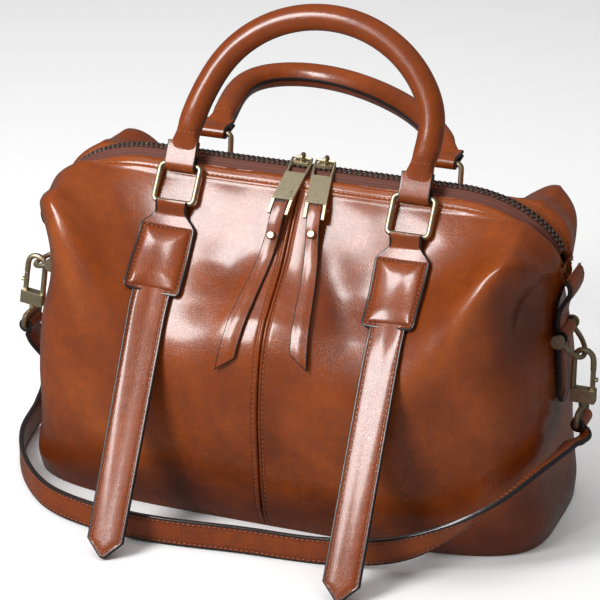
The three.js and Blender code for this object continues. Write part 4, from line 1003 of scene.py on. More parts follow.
def build_handles(look, leather, thread):
    """Each handle is a rolled tube along two straight legs and an arch. Its outline is a superellipse
    that flattens toward each foot, and each foot is a strap folded round its ring's bar."""
    legs = HANDLE_RISE - HANDLE_ARCH
    for label in FACES:
        skew = HANDLE_SKEWS[label]
        up_leg = np.linspace(TUBE_START, legs, 34)
        turn = np.linspace(0, math.pi, 90)[1:-1]
        leg = np.full(len(up_leg), HANDLE_SPREAD)
        x = np.concatenate([-leg, -HANDLE_SPREAD * np.cos(turn), leg])
        z = np.concatenate([up_leg, legs + HANDLE_ARCH * np.sin(turn), up_leg[::-1]])
        shift = skew * smooth(0, HANDLE_RISE, z) * z / HANDLE_RISE
        shift = shift + mix(*LEG_SHIFTS[label], (x / HANDLE_SPREAD + 1) / 2) * smooth(0, 2 * legs, z)
        path = relaxed(stacked(x + shift, 0, z), 12)
        ahead = directions(path)
        across = stacked(ahead[:, 2], 0, -ahead[:, 0])
        round_up = smooth(TUBE_START, TUBE_ROUND, z)
        flat = smooth(TUBE_START, 26 * MM, z)
        wide = mix(FOOT_WIDTH / 2 - 0.2 * MM, HANDLE_RADIUS, smooth(TUBE_START, 24 * MM, z))
        wide = wide - WAIST_DEPTH * groove(z, WAIST_PLACE, 6 * MM)
        thick = mix(TUBE_THIN, HANDLE_RADIUS, mix(flat**1.3, round_up, 0.5))
        square = mix(3.4, 2.0, round_up)
        spin = np.linspace(0, 2 * math.pi, 41)
        power = 2 / square[:, None]
        cos, sin = np.cos(spin)[None], np.sin(spin)[None]
        inside = groove(np.angle(np.exp(1j * spin)), 0, 0.16)[None]
        seam = inside * mix(0.0, 1.0, round_up)[:, None]
        grow = 1 + (0.5 * seam * MM) / HANDLE_RADIUS
        outline = np.stack([
            np.sign(cos) * np.abs(cos) ** power * wide[:, None] * grow,
            np.sign(sin) * np.abs(sin) ** power * thick[:, None] * grow,
        ], axis=-1)
        shell = Shell()
        lean = -math.radians(HANDLE_LEANS[label])
        pivot = joint_place(f"{label}_handle_swing")
        place = lambda places: turned(places, lean) + pivot
        tube = sweep(path, across, [0.0, 1.0, 0.0], outline)
        far = distances(path)
        rings = np.concatenate([far[:1], far[:1], far, far[-1:], far[-1:]])
        spread = paired(rings[:, None], spin * HANDLE_RADIUS)
        mark = np.concatenate([seam[:1] * 0, seam[:1] * 0, seam, seam[:1] * 0, seam[:1] * 0])
        shell.grid(place(tube), spread, rim=np.broadcast_to(mark, tube.shape[:2]) * 0.95)
        insets = np.array([0, 0.12, 0.3, 0.6, 1.2]) * MM
        inner = np.linspace(-1, 1, 9)[1:-1]
        height = np.linspace(15 * MM, 0, 16)
        angle = np.linspace(0, math.pi, 18)[1:-1]
        radius = LOOP_RADIUS - LOOP_LEATHER / 2
        leg_y = mix(radius, 1.5 * MM, smooth(0, 13 * MM, height))
        y = np.concatenate([-leg_y, -radius * np.cos(angle), leg_y[::-1]])
        strap_z = np.concatenate([height, -radius * np.sin(angle), height[::-1]])
        line = stacked(0, y, strap_z)
        out = unit(np.cross(directions(line), X_WAY))
        half = np.full(len(y), FOOT_WIDTH / 2)
        lanes, from_edge = lane_places(half, insets, inner)
        rise = LOOP_LEATHER / 2 - edge_round(from_edge, 0.5 * MM)
        sewing = Shell()
        for side in (LEFT, RIGHT):
            foot = line[:, None] + lanes[..., None] * X_WAY + np.array([side * HANDLE_SPREAD, 0, 0])
            upper, lower = foot + out[:, None] * rise[..., None], foot - out[:, None] * rise[..., None]
            far_foot = distances(line)
            spread = paired(far_foot[:, None], lanes)
            shell.slab(place(upper), place(lower), spread, rim_mark(from_edge, 0.8 * MM))
            column = nearest(z[:40], FOOT_SEWN)
            ring = outline[column]
            middle = path[column] if side == LEFT else path[-1 - column]
            for first in (math.pi, 0):
                half_turn = (spin > first + 0.5) & (spin < first + math.pi - 0.5)
                edge_places = middle + ring[half_turn, 0:1] * X_WAY + ring[half_turn, 1:2] * Y_WAY
                outs = unit(edge_places - middle)
                stitches(sewing, place(edge_places), turned(outs, lean), look.thread, look.pitch * 0.8)
        shell.build(
            f"{label}_rolled_handle", leather, f"{label}_grip", "trim_leather",
            [f"{label}_handle"], sharp=60,
        )
        sewing.build(f"{label}_handle_stitching", thread, f"{label}_grip", "trim_leather")


# End tabs and the shoulder strap


END_STITCH = 2.5 * MM
PIN_BED = 2.6 * MM


def build_end_tabs(look, leather, thread):
    """Each end tab is a flat strap down the end of the bag with a rounded foot, wider where it wraps the
    zip's end, and a loop round the pin of the end ring."""
    insets = np.array([0, 0.15, 0.4, 0.8, 1.4, 2, 2.5, 3, 3.6]) * MM
    inner = np.linspace(-1, 1, 11)[1:-1]
    for name, side in SIDES.items():
        last = np.array([5, 4, 3, 2.4, 1.8, 1.2, 0.7, 0.3, 0.1, 0]) * MM / END_TAB_LENGTH
        share = np.concatenate([np.linspace(0, 0.93, 80), 1 - last])
        rows = at_distance(share, END_TAB_ROWS[:, 0], END_TAB_ROWS[:, 1:])
        rows[:, 1] = relaxed(rows[:, 1:2], 20)[:, 0]
        half = relaxed(rows[:, 0:1], 10)[:, 0] * END_TAB_WIDTH / 2
        from_end = (1 - share) * END_TAB_LENGTH
        half = np.where(share > 0.85, 0.92 * END_TAB_WIDTH / 2 - edge_round(from_end, 9 * MM), half)
        half = np.maximum(half, 1.5 * MM)
        across, from_side = lane_places(half, insets, inner)
        drop = share * END_TAB_LENGTH - END_TAB_TOP
        base, out = on_end(side, drop, END_TAB_LIFT + rows[:, 1] * END_TAB_THICK)
        edge = np.minimum(from_side, from_end[:, None] + 0 * across)
        top = END_TAB_THICK - edge_round(edge, 0.9 * MM) - 0.35 * MM * groove(edge, END_STITCH, 0.6 * MM)
        top = top + 0.4 * MM * smooth(END_STITCH, END_STITCH + 4 * MM, edge)
        top = top - PIN_BED * groove(drop, PIN_DROP, 3.2 * MM)[:, None]
        low = edge_round(edge, 0.5 * MM)
        middle = base[:, None] + across[..., None] * Y_WAY
        upper, lower = middle + out[:, None] * top[..., None], middle + out[:, None] * low[..., None]
        spread = paired(distances(base)[:, None], across)
        shell = Shell()
        # The face gets painted shade along its stitch rows.
        shell.slab(upper, lower, spread, rim_mark(edge, 1.6 * MM), stitch_painted_shade(edge, END_STITCH), 0.6)
        pin, outward = on_end(side, np.array(PIN_DROP)[None], PIN_LOOP + CLEARANCE)
        pin, outward = pin[0], outward[0]
        turn = np.linspace(math.radians(-70), math.radians(250), 36)
        upward = np.cross(outward, [0, 1.0, 0]) * side
        spin = np.cos(turn)[:, None] * outward + np.sin(turn)[:, None] * upward
        loop_half = np.full(len(turn), END_TAB_WIDTH / 2 - 0.5 * MM)
        lanes, from_edge = lane_places(loop_half, insets[:5], inner)
        rise = edge_round(from_edge, 0.5 * MM)
        hub = pin + lanes[..., None] * Y_WAY
        around = hub + spin[:, None] * (PIN_LOOP - rise)[..., None]
        within = hub + spin[:, None] * (PIN_LOOP - LOOP_LEATHER + rise)[..., None]
        spread = paired(turn[:, None] * PIN_LOOP, lanes)
        shell.slab(around, within, spread, rim_mark(from_edge, 0.8 * MM))
        shell.build(f"{name}_end_tab", leather, "bag", "trim_leather", [f"end_tab_{name}"], sharp=55)
        sewing = Shell()
        column = nearest(insets, END_STITCH)
        stop = nearest(from_end, 8 * MM)
        for pick in (column, -1 - column):
            stitches(sewing, upper[3:stop, pick], out[3:stop], look.thread, look.pitch)
        sewing.build(f"{name}_end_tab_stitching", thread, "bag", "trim_leather")


def strap_bar(name):
    """Where the clip holds the strap: the middle of the swivel's lower bar."""
    side, droop, tilt = SIDES[name], CLIP_DROOPS[name], CLIP_TILTS[name]
    pin, _ = on_end(side, np.array([PIN_DROP]), PIN_LOOP + CLEARANCE)
    reach = np.array([side * math.cos(droop), 0, -math.sin(droop)]) * BOW_DEPTH
    return pin[0] + reach + np.array([side * BAR_DROP * math.sin(tilt), 0, -BAR_DROP * math.cos(tilt)])


def centripetal(stops, count):
    """A smooth curve through all stops: each stretch is a cubic whose ends' speeds follow the square
    roots of the distances, so that it doesn't overshoot."""
    first, last = 2 * stops[0] - stops[1], 2 * stops[-1] - stops[-2]
    line = np.concatenate([[first], stops, [last]])
    share = np.linspace(0, len(stops) - 1, count)
    whole = np.minimum(share.astype(int), len(stops) - 2)
    t = (share - whole)[:, None]
    p0, p1, p2, p3 = (line[whole + k] for k in range(4))
    pairs = ((p0, p1), (p1, p2), (p2, p3))
    d0, d1, d2 = (np.sqrt(np.linalg.norm(b - a, axis=-1))[:, None] for a, b in pairs)
    leave = ((p1 - p0) / d0 - (p2 - p0) / (d0 + d1) + (p2 - p1) / d1) * d1
    arrive = ((p2 - p1) / d1 - (p3 - p1) / (d1 + d2) + (p3 - p2) / d2) * d1
    cubic = 2 * p1 - 2 * p2 + leave + arrive
    square = -3 * p1 + 3 * p2 - 2 * leave - arrive
    return ((cubic * t + square) * t + leave) * t + p1, share


STRAP_STITCH = 2.4 * MM
STRAP_EDGE = 0.8 * MM


def build_strap(look, leather, thread):
    """The strap is one flat band along its way, its width turned from level at the clips to upright on
    the ground, with a loop round each clip's bar."""
    rest = STRAP_WIDTH / 2 + CLEARANCE
    bars = [strap_bar("left"), strap_bar("right")]
    seat = np.array([0, 0, -(BAR_WIRE + CLEARANCE + STRAP_THICK / 2) + STRAP_SEAT])
    places = STRAP_ROUTE[:, :3] * (HALF_LENGTH, HALF_DEPTH, HEIGHT) + (0, 0, rest)
    stops = np.concatenate([[bars[0] + seat], places, [bars[1] + seat]])
    widths = np.concatenate([[[0, 1, 0]], STRAP_ROUTE[:, 3:], [[0, -1, 0]]]).astype(float)
    line, share = centripetal(stops, 420)
    wide = at_distance(share, np.arange(len(stops)), unit(widths))
    wide = relaxed(wide, 30)
    ahead = directions(line)
    wide = unit(wide - ahead * np.sum(wide * ahead, axis=-1, keepdims=True))
    out = unit(np.cross(ahead, wide))
    insets = np.array([0, 0.12, 0.3, 0.6, 1, 1.6, 2.2, 2.8, 3.4]) * MM
    inner = np.linspace(-1, 1, 8)[1:-1]
    half = np.full(len(line), STRAP_WIDTH / 2)
    across, edge = lane_places(half, insets, inner)
    rise = STRAP_THICK / 2 - edge_round(edge, STRAP_EDGE)
    dip = 0.3 * MM * groove(edge, STRAP_STITCH, 0.6 * MM)
    middle = line[:, None] + across[..., None] * wide[:, None]
    upper = middle + out[:, None] * (rise - dip)[..., None]
    lower = middle - out[:, None] * (rise - dip)[..., None]
    for grid in (upper, lower):
        grid[..., 2] = np.maximum(grid[..., 2], 0)
    far = distances(line)
    spread = paired(far[:, None], across)
    shell = Shell()
    # Both faces get painted shade along their stitch rows.
    shell.grid(upper, spread, rim_mark(edge, 1.5 * MM), stitch_painted_shade(edge, STRAP_STITCH))
    shell.grid(lower, spread, rim_mark(edge, 1.5 * MM), stitch_painted_shade(edge, STRAP_STITCH))
    shell.walls(upper, lower)
    turn = np.linspace(0, 2 * math.pi, 33)
    loop_lanes, loop_edge = lane_places(np.full(len(turn), STRAP_WIDTH / 2), insets, inner)
    outer_radius = BAR_WIRE + CLEARANCE + STRAP_THICK
    for bar in bars:
        spin = stacked(np.cos(turn), 0, np.sin(turn))
        hub = bar + loop_lanes[..., None] * Y_WAY
        round_edge = edge_round(loop_edge, STRAP_EDGE)
        around = hub + spin[:, None] * (outer_radius - round_edge)[..., None]
        within = hub + spin[:, None] * (BAR_WIRE + CLEARANCE + round_edge)[..., None]
        spread = paired(turn[:, None] * outer_radius, loop_lanes)
        shell.grid(around, spread, rim_mark(loop_edge, 0.9 * MM))
        shell.grid(within, spread, 0.5)
        for cut in (np.s_[:, 0], np.s_[:, -1]):
            share = np.linspace(0, 1, 3)[:, None, None]
            shell.grid(mix(around[cut][None], within[cut][None], share), rim=1.0)
    shell.build("strap", leather, "bag", "trim_leather", ["shoulder_strap"], sharp=55)
    sewing = Shell()
    column = nearest(insets, STRAP_STITCH)
    for pick in (column, -1 - column):
        stitches(sewing, upper[12:-12, pick], out[12:-12], look.thread, look.pitch)
        stitches(sewing, lower[12:-12, pick], -out[12:-12], look.thread, look.pitch)
    sewing.build("strap_stitching", thread, "bag", "trim_leather")


# Finishes


class Value:
    """A number or colour that varies over a surface. Operators on it add Math nodes."""

    def __init__(self, finish, socket):
        self.finish, self.socket = finish, socket

    def math(self, operation, first, second):
        return self.finish.node("ShaderNodeMath", {"operation": operation}, {0: first, 1: second})

    def __add__(self, other):
        return self.math("ADD", self, other)

    def __radd__(self, other):
        return self.math("ADD", other, self)

    def __sub__(self, other):
        return self.math("SUBTRACT", self, other)

    def __rsub__(self, other):
        return self.math("SUBTRACT", other, self)

    def __mul__(self, other):
        return self.math("MULTIPLY", self, other)

    def __rmul__(self, other):
        return self.math("MULTIPLY", other, self)

    def __pow__(self, other):
        return self.math("POWER", self, other)


class Finish:
    """A material whose nodes are added by one method."""

    def __init__(self, name):
        self.material = bpy.data.materials.new(name)
        self.material.use_nodes = True
        self.tree = self.material.node_tree
        self.shader = self.tree.nodes["Principled BSDF"]

    def node(self, kind, settings, inputs, output=0):
        """Adds a node: its settings first, then the values or links of its sockets."""
        node = self.tree.nodes.new(kind)
        for key, value in settings.items():
            if key == "stops":
                self.ramp(node.color_ramp, value)
            else:
                setattr(node, key, value)
        for key, value in inputs.items():
            self.plug(node.inputs[key], value)
        return Value(self, node.outputs[output])

    def ramp(self, ramp, stops):
        for place, colour in stops[2:]:
            ramp.elements.new(place).color = colour
        for element, (place, colour) in zip(list(ramp.elements)[:2], stops[:2]):
            element.position, element.color = place, colour

    def plug(self, socket, value):
        if isinstance(value, Value):
            self.tree.links.new(value.socket, socket)
        else:
            socket.default_value = value

    def set(self, **sockets):
        """Sets or links sockets of the shader, named with underscores for spaces."""
        for key, value in sockets.items():
            self.plug(self.shader.inputs[key.replace("_", " ")], value)

    def place(self):
        return self.node("ShaderNodeTexCoord", {}, {}, "Object")

    def across(self):
        """Distance along and across the piece."""
        return self.node("ShaderNodeUVMap", {"uv_map": "along_and_across"}, {})

    def mark(self, name):
        return self.node("ShaderNodeAttribute", {"attribute_name": name}, {}, "Fac")

    def noise(self, place, scale, detail=2.0, rough=0.5):
        return self.node(
            "ShaderNodeTexNoise", {},
            {"Vector": place, "Scale": scale, "Detail": detail, "Roughness": rough},
        )

    def stretched(self, place, scale):
        return self.node("ShaderNodeMapping", {}, {"Vector": place, "Scale": scale})

    def cells(self, place, scale):
        return self.node(
            "ShaderNodeTexVoronoi", {"feature": "DISTANCE_TO_EDGE"}, {"Vector": place, "Scale": scale}
        )

    def clamped(self, value, low, high, to_low=0.0, to_high=1.0):
        """A value taken from one range to another and held inside it."""
        return self.node(
            "ShaderNodeMapRange", {"clamp": True},
            {"Value": value, "From Min": low, "From Max": high, "To Min": to_low, "To Max": to_high},
        )

    def blend(self, share, first, second, mode="MIX"):
        return self.node(
            "ShaderNodeMix", {"data_type": "RGBA", "blend_type": mode}, {0: share, 6: first, 7: second}, 2
        )

    def bump(self, height, distance, strength=1.0, normal=None):
        inputs = {"Height": height, "Distance": distance, "Strength": strength}
        if normal is not None:
            inputs["Normal"] = normal
        return self.node("ShaderNodeBump", {}, inputs)


def leather_finish(name, colours, edge=False):
    """Waxed leather: warm clouds of colour, painted shade in the creases, hollows and seam and toward the
    base, painted highlight on the ridges, a fine pebbled grain, soft unevenness, and black paint on the cut
    edges."""
    finish = Finish(name)
    place = finish.place()
    clouds = finish.clamped(finish.noise(place, 13.0, 3.0, 0.55), 0.3, 0.7)
    mottle = finish.clamped(finish.noise(place, 120.0, 4.0, 0.6), 0.3, 0.75)
    tone = finish.mark("tone")
    grain = finish.cells(place, 820.0)
    pebble = finish.clamped(grain, 0.0, 0.22)
    colour = finish.blend(clouds, tuple(colours.leather), tuple(colours.leather_warm))
    colour = finish.blend(mottle * 0.35, colour, tuple(colours.deep_leather_and_shade))
    # Painted shade where the painted light and shade mark is below 0.5, painted highlight where it is
    # above.
    colour = finish.blend(finish.clamped(tone, 0.5, 0.1) * 0.75, colour, tuple(colours.deep_leather_and_shade))
    colour = finish.blend(finish.clamped(tone, 0.5, 0.9) * 0.4, colour, tuple(colours.painted_highlight))
    colour = finish.blend((1 - pebble) * 0.25, colour, tuple(colours.deep_leather_and_shade))
    rough = 0.21 + mottle * 0.12 + (1 - pebble) * 0.1
    if edge:
        paint = finish.clamped(finish.mark("rim"), 0.2, 0.45)
        colour = finish.blend(paint, colour, tuple(colours.edge))
        rough = rough * (1 - paint) + paint * 0.42
    finish.set(Base_Color=colour, Roughness=rough)
    finish.set(Coat_Weight=0.75, Coat_Roughness=0.16, Specular_IOR_Level=0.4)
    fine = finish.noise(place, 2200.0, 2.0)
    soft = finish.noise(place, 55.0, 4.0, 0.6)
    creases = finish.clamped(finish.cells(finish.stretched(place, (60.0, 60.0, 130.0)), 1.0), 0.0, 0.09)
    uneven = finish.bump(soft + creases * 0.015, 1.6 * MM, 0.35)
    finish.set(Normal=finish.bump(pebble + fine * 0.2, 0.1 * MM, 0.5, uneven))
    return finish.material


def thread_finish(colours):
    """Waxed sewing thread: twisted strands across each stitch."""
    finish = Finish("sewing_thread")
    place = finish.place()
    strand = finish.noise(place, 1500.0, 1.0)
    finish.set(
        Base_Color=finish.blend(strand, tuple(colours.thread), tuple(colours.thread_dark)),
        Roughness=0.5 + strand * 0.2,
        Normal=finish.bump(strand, 0.08 * MM),
    )
    return finish.material


def tape_finish(colours):
    """Woven tape: ribs along the zip crossed by fine weft."""
    finish = Finish("woven_tape")
    place = finish.place()
    weft = finish.node("ShaderNodeTexWave", {"bands_direction": "X"}, {"Vector": place, "Scale": 350.0})
    warp = finish.node("ShaderNodeTexWave", {"bands_direction": "Y"}, {"Vector": place, "Scale": 260.0})
    fuzz = finish.noise(place, 400.0, 3.0)
    weave = weft * 0.5 + warp * 0.5
    finish.set(
        Base_Color=finish.blend(weave * 0.6 + fuzz * 0.4, tuple(colours.tape_dark), tuple(colours.tape)),
        Roughness=0.6 + fuzz * 0.25,
        Normal=finish.bump(weave, 0.12 * MM, 0.8),
    )
    return finish.material


def metal_finish(name, bright, dark, rough=0.36):
    """Antiqued metal: brushed, darker where polish doesn't reach, with fine scratches."""
    finish = Finish(name)
    place = finish.place()
    stain = finish.clamped(finish.noise(place, 260.0, 4.0, 0.6), 0.35, 0.75)
    scratch = finish.noise(finish.stretched(place, (300.0, 2600.0, 900.0)), 1.0, 2.0)
    finish.set(
        Base_Color=finish.blend(stain * 0.7, tuple(bright), tuple(dark)),
        Metallic=1.0,
        Roughness=rough + scratch * 0.12 + stain * 0.1,
        Normal=finish.bump(scratch, 0.02 * MM, 0.5),
    )
    return finish.material


def floor_finish(colours):
    """A plain pale floor."""
    finish = Finish("floor")
    cloud = finish.noise(finish.place(), 1.5, 1.0)
    colour = finish.blend(cloud * 0.1, tuple(colours.floor), (0.8, 0.8, 0.8, 1))
    finish.set(Base_Color=colour, Roughness=0.9)
    return finish.material


def finishes(context):
    """The bag's finishes, made once and shared by its pieces."""
    colours = context.scene.bag_colours
    makers = {
        "waxed_leather": lambda: leather_finish("waxed_leather", colours),
        "edged_leather": lambda: leather_finish("edged_leather", colours, edge=True),
        "sewing_thread": lambda: thread_finish(colours),
        "woven_tape": lambda: tape_finish(colours),
        "antique_brass": lambda: metal_finish("antique_brass", colours.brass, colours.brass_dark),
        "dark_teeth": lambda: metal_finish("dark_teeth", colours.teeth, colours.teeth_dark, 0.22),
    }
    for name, make in makers.items():
        if name not in bpy.data.materials:
            make()
    return {name: bpy.data.materials[name] for name in makers}


def colour_property(name, description, value):
    return bpy.props.FloatVectorProperty(
        name=name, description=description, subtype="COLOR", size=4, min=0, max=1, default=(*value, 1)
    )


def length_property(name, description, value):
    return bpy.props.FloatProperty(
        name=name, description=description, unit="LENGTH", precision=5, default=value
    )


def angle_property(name, description, degrees):
    return bpy.props.FloatProperty(
        name=name, description=description, subtype="ANGLE", default=math.radians(degrees)
    )


def power_property(name, description, watts):
    return bpy.props.FloatProperty(name=name, description=description, unit="POWER", default=watts)


class BagColours(bpy.types.PropertyGroup):
    """Colours of the bag and its stage."""

    leather: colour_property("Leather", "Main colour of the leather", (0.24, 0.043, 0.004))
    leather_warm: colour_property("Warm leather", "Colour of its warmer clouds", (0.33, 0.064, 0.005))
    # Colour of the darker mottling and grain, and of the painted shade in creases, hollows, the seam and
    # toward the base.
    deep_leather_and_shade: colour_property("Deep leather", "Colour in its creases", (0.055, 0.007, 0.002))
    # Colour of the painted highlight on the ridges and the lip.
    painted_highlight: colour_property("Light leather", "Colour on its ridges", (0.55, 0.14, 0.02))
    edge: colour_property("Edge paint", "Colour of the painted edges", (0.016, 0.012, 0.012))
    thread: colour_property("Thread", "Colour of the thread", (0.5, 0.16, 0.06))
    thread_dark: colour_property("Dark thread", "Colour between its strands", (0.11, 0.02, 0.01))
    tape: colour_property("Zip tape", "Colour of the zip's tape", (0.2, 0.06, 0.035))
    tape_dark: colour_property("Dark tape", "Colour between the tape's threads", (0.06, 0.015, 0.01))
    brass: colour_property("Brass", "Colour of the metal", (0.78, 0.68, 0.47))
    brass_dark: colour_property("Dark brass", "Colour of its patina", (0.36, 0.29, 0.17))
    teeth: colour_property("Teeth", "Colour of the teeth's tips", (0.7, 0.66, 0.6))
    teeth_dark: colour_property("Dark teeth", "Colour of the teeth's flanks", (0.08, 0.07, 0.065))
    floor: colour_property("Floor", "Colour of the floor", (0.98, 0.98, 0.98))


class BagSizes(bpy.types.PropertyGroup):
    """Sizes that change the bag's finer work."""

    thread: length_property("Thread radius", "Half the thickness of the thread", 0.42 * MM)
    pitch: length_property("Stitch pitch", "Distance from one stitch to the next", 3.3 * MM)
    tooth_pitch: length_property("Tooth pitch", "Distance between teeth on one side of the zip", 3.4 * MM)


class BagStage(bpy.types.PropertyGroup):
    """Light and camera."""

    distance: length_property("Camera distance", "Distance from the camera to the bag", 1.8)
    azimuth: angle_property("Azimuth", "Camera's turn round the bag", 20.5)
    elevation: angle_property("Elevation", "Camera's height above level", 24)
    lens: bpy.props.FloatProperty(name="Lens", description="Focal length in millimetres", default=170.18)
    key: power_property("Key light", "Power of the main light", 22)
    fill: power_property("Top light", "Power of the wide light above", 28)
    sky: bpy.props.FloatProperty(name="Sky", description="Strength of the surrounding light", default=0.11)


def sewn(context, build):
    """Builds edged and stitched pieces."""
    made = finishes(context)
    build(context.scene.bag_sizes, made["edged_leather"], made["sewing_thread"])
    return {"FINISHED"}


class BAG_OT_body(bpy.types.Operator):
    """Build the two halves of the body with their stitching"""

    bl_idname = "bag.body"
    bl_label = "Body"

    def execute(self, context):
        made = finishes(context)
        build_body(context.scene.bag_sizes, made["waxed_leather"], made["sewing_thread"])
        return {"FINISHED"}


class BAG_OT_zip(bpy.types.Operator):
    """Build the zip's tapes and teeth, and finish its sliders"""

    bl_idname = "bag.zip"
    bl_label = "Zip"

    def execute(self, context):
        made = finishes(context)
        build_tapes(made["woven_tape"])
        build_teeth(context.scene.bag_sizes, made["dark_teeth"], made["woven_tape"])
        for name in SIDES:
            dress(f"slider_{name}", made["antique_brass"])
        return {"FINISHED"}


class BAG_OT_pulls(bpy.types.Operator):
    """Build the pulls' leather strips, and finish their plates and rivets"""

    bl_idname = "bag.pulls"
    bl_label = "Pulls"

    def execute(self, context):
        made = finishes(context)
        build_strips(made["edged_leather"])
        for name in SIDES:
            dress(f"pull_plate_{name}", made["antique_brass"])
            dress(f"pull_rivet_{name}", made["antique_brass"])
        return {"FINISHED"}


class BAG_OT_tabs(bpy.types.Operator):
    """Build the four stitched tabs that hold the rings"""

    bl_idname = "bag.tabs"
    bl_label = "Tabs"

    def execute(self, context):
        return sewn(context, build_tabs)


class BAG_OT_belts(bpy.types.Operator):
    """Build the two pointed belts"""

    bl_idname = "bag.belts"
    bl_label = "Belts"

    def execute(self, context):
        return sewn(context, build_belts)


class BAG_OT_handles(bpy.types.Operator):
    """Build the two rolled handles"""

    bl_idname = "bag.handles"
    bl_label = "Handles"

    def execute(self, context):
        return sewn(context, build_handles)


class BAG_OT_rings(bpy.types.Operator):
    """Build the four rings that the handles hang in"""

    bl_idname = "bag.rings"
    bl_label = "Rings"

    def execute(self, context):
        build_rings(finishes(context)["antique_brass"])
        return {"FINISHED"}


class BAG_OT_end_tabs(bpy.types.Operator):
    """Build the tab at each end of the bag"""

    bl_idname = "bag.end_tabs"
    bl_label = "End tabs"

    def execute(self, context):
        return sewn(context, build_end_tabs)


class BAG_OT_clips(bpy.types.Operator):
    """Finish the end rings and the dog clips"""

    bl_idname = "bag.clips"
    bl_label = "Clips"

    def execute(self, context):
        made = finishes(context)
        for piece in ("end_ring", "clip_hook", "clip_gate", "clip_swivel"):
            for name in SIDES:
                dress(f"{piece}_{name}", made["antique_brass"], wires=piece != "clip_gate")
        return {"FINISHED"}


class BAG_OT_strap(bpy.types.Operator):
    """Build the shoulder strap"""

    bl_idname = "bag.strap"
    bl_label = "Strap"

    def execute(self, context):
        return sewn(context, build_strap)


class BAG_OT_stage(bpy.types.Operator):
    """Set up the floor, the lights and the camera"""

    bl_idname = "bag.stage"
    bl_label = "Stage"

    def execute(self, context):
        build_stage(context)
        return {"FINISHED"}


# How a metal solid is softened: its flat faces made whole, its edges rounded, and its wires made smooth.
SOFTENING = {
    "WELD": {"merge_threshold": 0.01 * MM},
    "DECIMATE": {"decimate_type": "DISSOLVE", "angle_limit": math.radians(1)},
    "BEVEL": {"width": 0.22 * MM, "segments": 2, "limit_method": "ANGLE", "angle_limit": math.radians(50)},
    "SUBSURF": {"levels": 2, "render_levels": 2},
}


def dress(node, finish, wires=True):
    """Gives a metal solid of the frame its finish and softens it, with its wires made smooth or not."""
    piece = frame["nodes"][node]
    piece.data.materials.clear()
    piece.data.materials.append(finish)
    for kind, settings in SOFTENING.items():
        if kind == "SUBSURF" and not wires:
            continue
        modifier = piece.modifiers.new(kind.title(), kind)
        for key, value in settings.items():
            setattr(modifier, key, value)


def softbox(name, place, target, size, power, mirrored=True):
    """A soft square light aimed at a place, which may be kept out of reflections."""
    data = bpy.data.lights.new(name, "AREA")
    data.shape, data.size, data.size_y = "RECTANGLE", size[0], size[1]
    data.energy = power
    light = bpy.data.objects.new(name, data)
    light.location = place
    light.visible_glossy = mirrored
    light.rotation_mode = "QUATERNION"
    light.rotation_quaternion = (Vector(target) - Vector(place)).to_track_quat("-Z", "Y")
    bpy.context.scene.collection.objects.link(light)


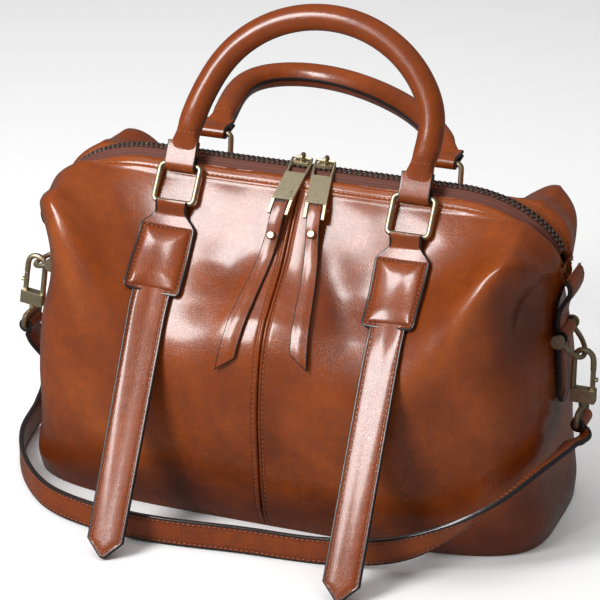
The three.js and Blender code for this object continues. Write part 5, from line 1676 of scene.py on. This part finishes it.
def build_stage(context):
    """A pale floor that curves up behind, soft lights, an even sky and the camera at the photograph's
    angle. The floor's height is level, then the square of the distance behind."""
    stage = context.scene.bag_stage
    x, y = np.meshgrid(np.linspace(-6, 6, 25), np.linspace(-6, 6, 49), indexing="ij")
    shell = Shell()
    places = stacked(x, y, -0.0004 + 0.25 * np.maximum(0, y - 2.5) ** 2)
    mesh = bpy.data.meshes.new("floor")
    shell.grid(places)
    mesh.from_pydata(shell.places[0], [], shell.faces[0])
    mesh.shade_smooth()
    mesh.materials.append(floor_finish(context.scene.bag_colours))
    floor = bpy.data.objects.new("floor", mesh)
    context.scene.collection.objects.link(floor)
    floor.visible_glossy = False
    world = context.scene.world or bpy.data.worlds.new("studio")
    context.scene.world = world
    world.use_nodes = True
    world.node_tree.nodes["Background"].inputs["Color"].default_value = (1, 1, 1, 1)
    world.node_tree.nodes["Background"].inputs["Strength"].default_value = stage.sky
    target = (0, 0, 0.1)
    softbox("key", (-0.65, -1.05, 1.05), target, (0.5, 0.8), stage.key)
    softbox("top", (0, 0.3, 1.7), target, (2.4, 2.2), stage.fill, mirrored=False)
    context.scene.view_settings.view_transform = "Standard"
    cos = math.cos(stage.elevation)
    away = (math.sin(stage.azimuth) * cos, -math.cos(stage.azimuth) * cos, math.sin(stage.elevation))
    back = Vector(away)
    camera = bpy.data.objects.new("camera", bpy.data.cameras.new("camera"))
    camera.data.sensor_width, camera.data.lens = 36, stage.lens
    camera.location = Vector((-0.00406, 0, 0.12271)) + back * stage.distance
    camera.rotation_mode = "QUATERNION"
    camera.rotation_quaternion = (-back).to_track_quat("-Z", "Y")
    camera.data.clip_start, camera.data.clip_end = 0.05, 50
    context.scene.collection.objects.link(camera)
    context.scene.camera = camera


class BAG_PT_panel(bpy.types.Panel):
    """Lists the pieces of the bag in the order that they are built."""

    bl_idname = "BAG_PT_panel"
    bl_label = "Boston bag"
    bl_space_type = "VIEW_3D"
    bl_region_type = "UI"
    bl_category = "Bag"

    def draw(self, context):
        for group in ("bag_sizes", "bag_colours", "bag_stage"):
            settings = getattr(context.scene, group)
            for name in settings.bl_rna.properties.keys():
                if name not in ("rna_type", "name"):
                    self.layout.prop(settings, name)
        for operator in OPERATORS:
            self.layout.operator(operator.bl_idname)


OPERATORS = (
    BAG_OT_body,
    BAG_OT_zip,
    BAG_OT_pulls,
    BAG_OT_tabs,
    BAG_OT_belts,
    BAG_OT_rings,
    BAG_OT_handles,
    BAG_OT_end_tabs,
    BAG_OT_clips,
    BAG_OT_strap,
    BAG_OT_stage,
)
GROUPS = {"bag_colours": BagColours, "bag_sizes": BagSizes, "bag_stage": BagStage}


def register():
    """Makes the settings, operators and panel known."""
    for name, group in GROUPS.items():
        bpy.utils.register_class(group)
        setattr(bpy.types.Scene, name, bpy.props.PointerProperty(type=group))
    for operator in OPERATORS:
        bpy.utils.register_class(operator)
    bpy.utils.register_class(BAG_PT_panel)


def unregister():
    """Takes them out again."""
    bpy.utils.unregister_class(BAG_PT_panel)
    for operator in reversed(OPERATORS):
        bpy.utils.unregister_class(operator)
    for name, group in GROUPS.items():
        delattr(bpy.types.Scene, name)
        bpy.utils.unregister_class(group)


def main():
    """Builds every piece."""
    register()
    for operator in OPERATORS:
        group, name = operator.bl_idname.split(".")
        getattr(getattr(bpy.ops, group), name)()


if __name__ == "__main__":
    main()
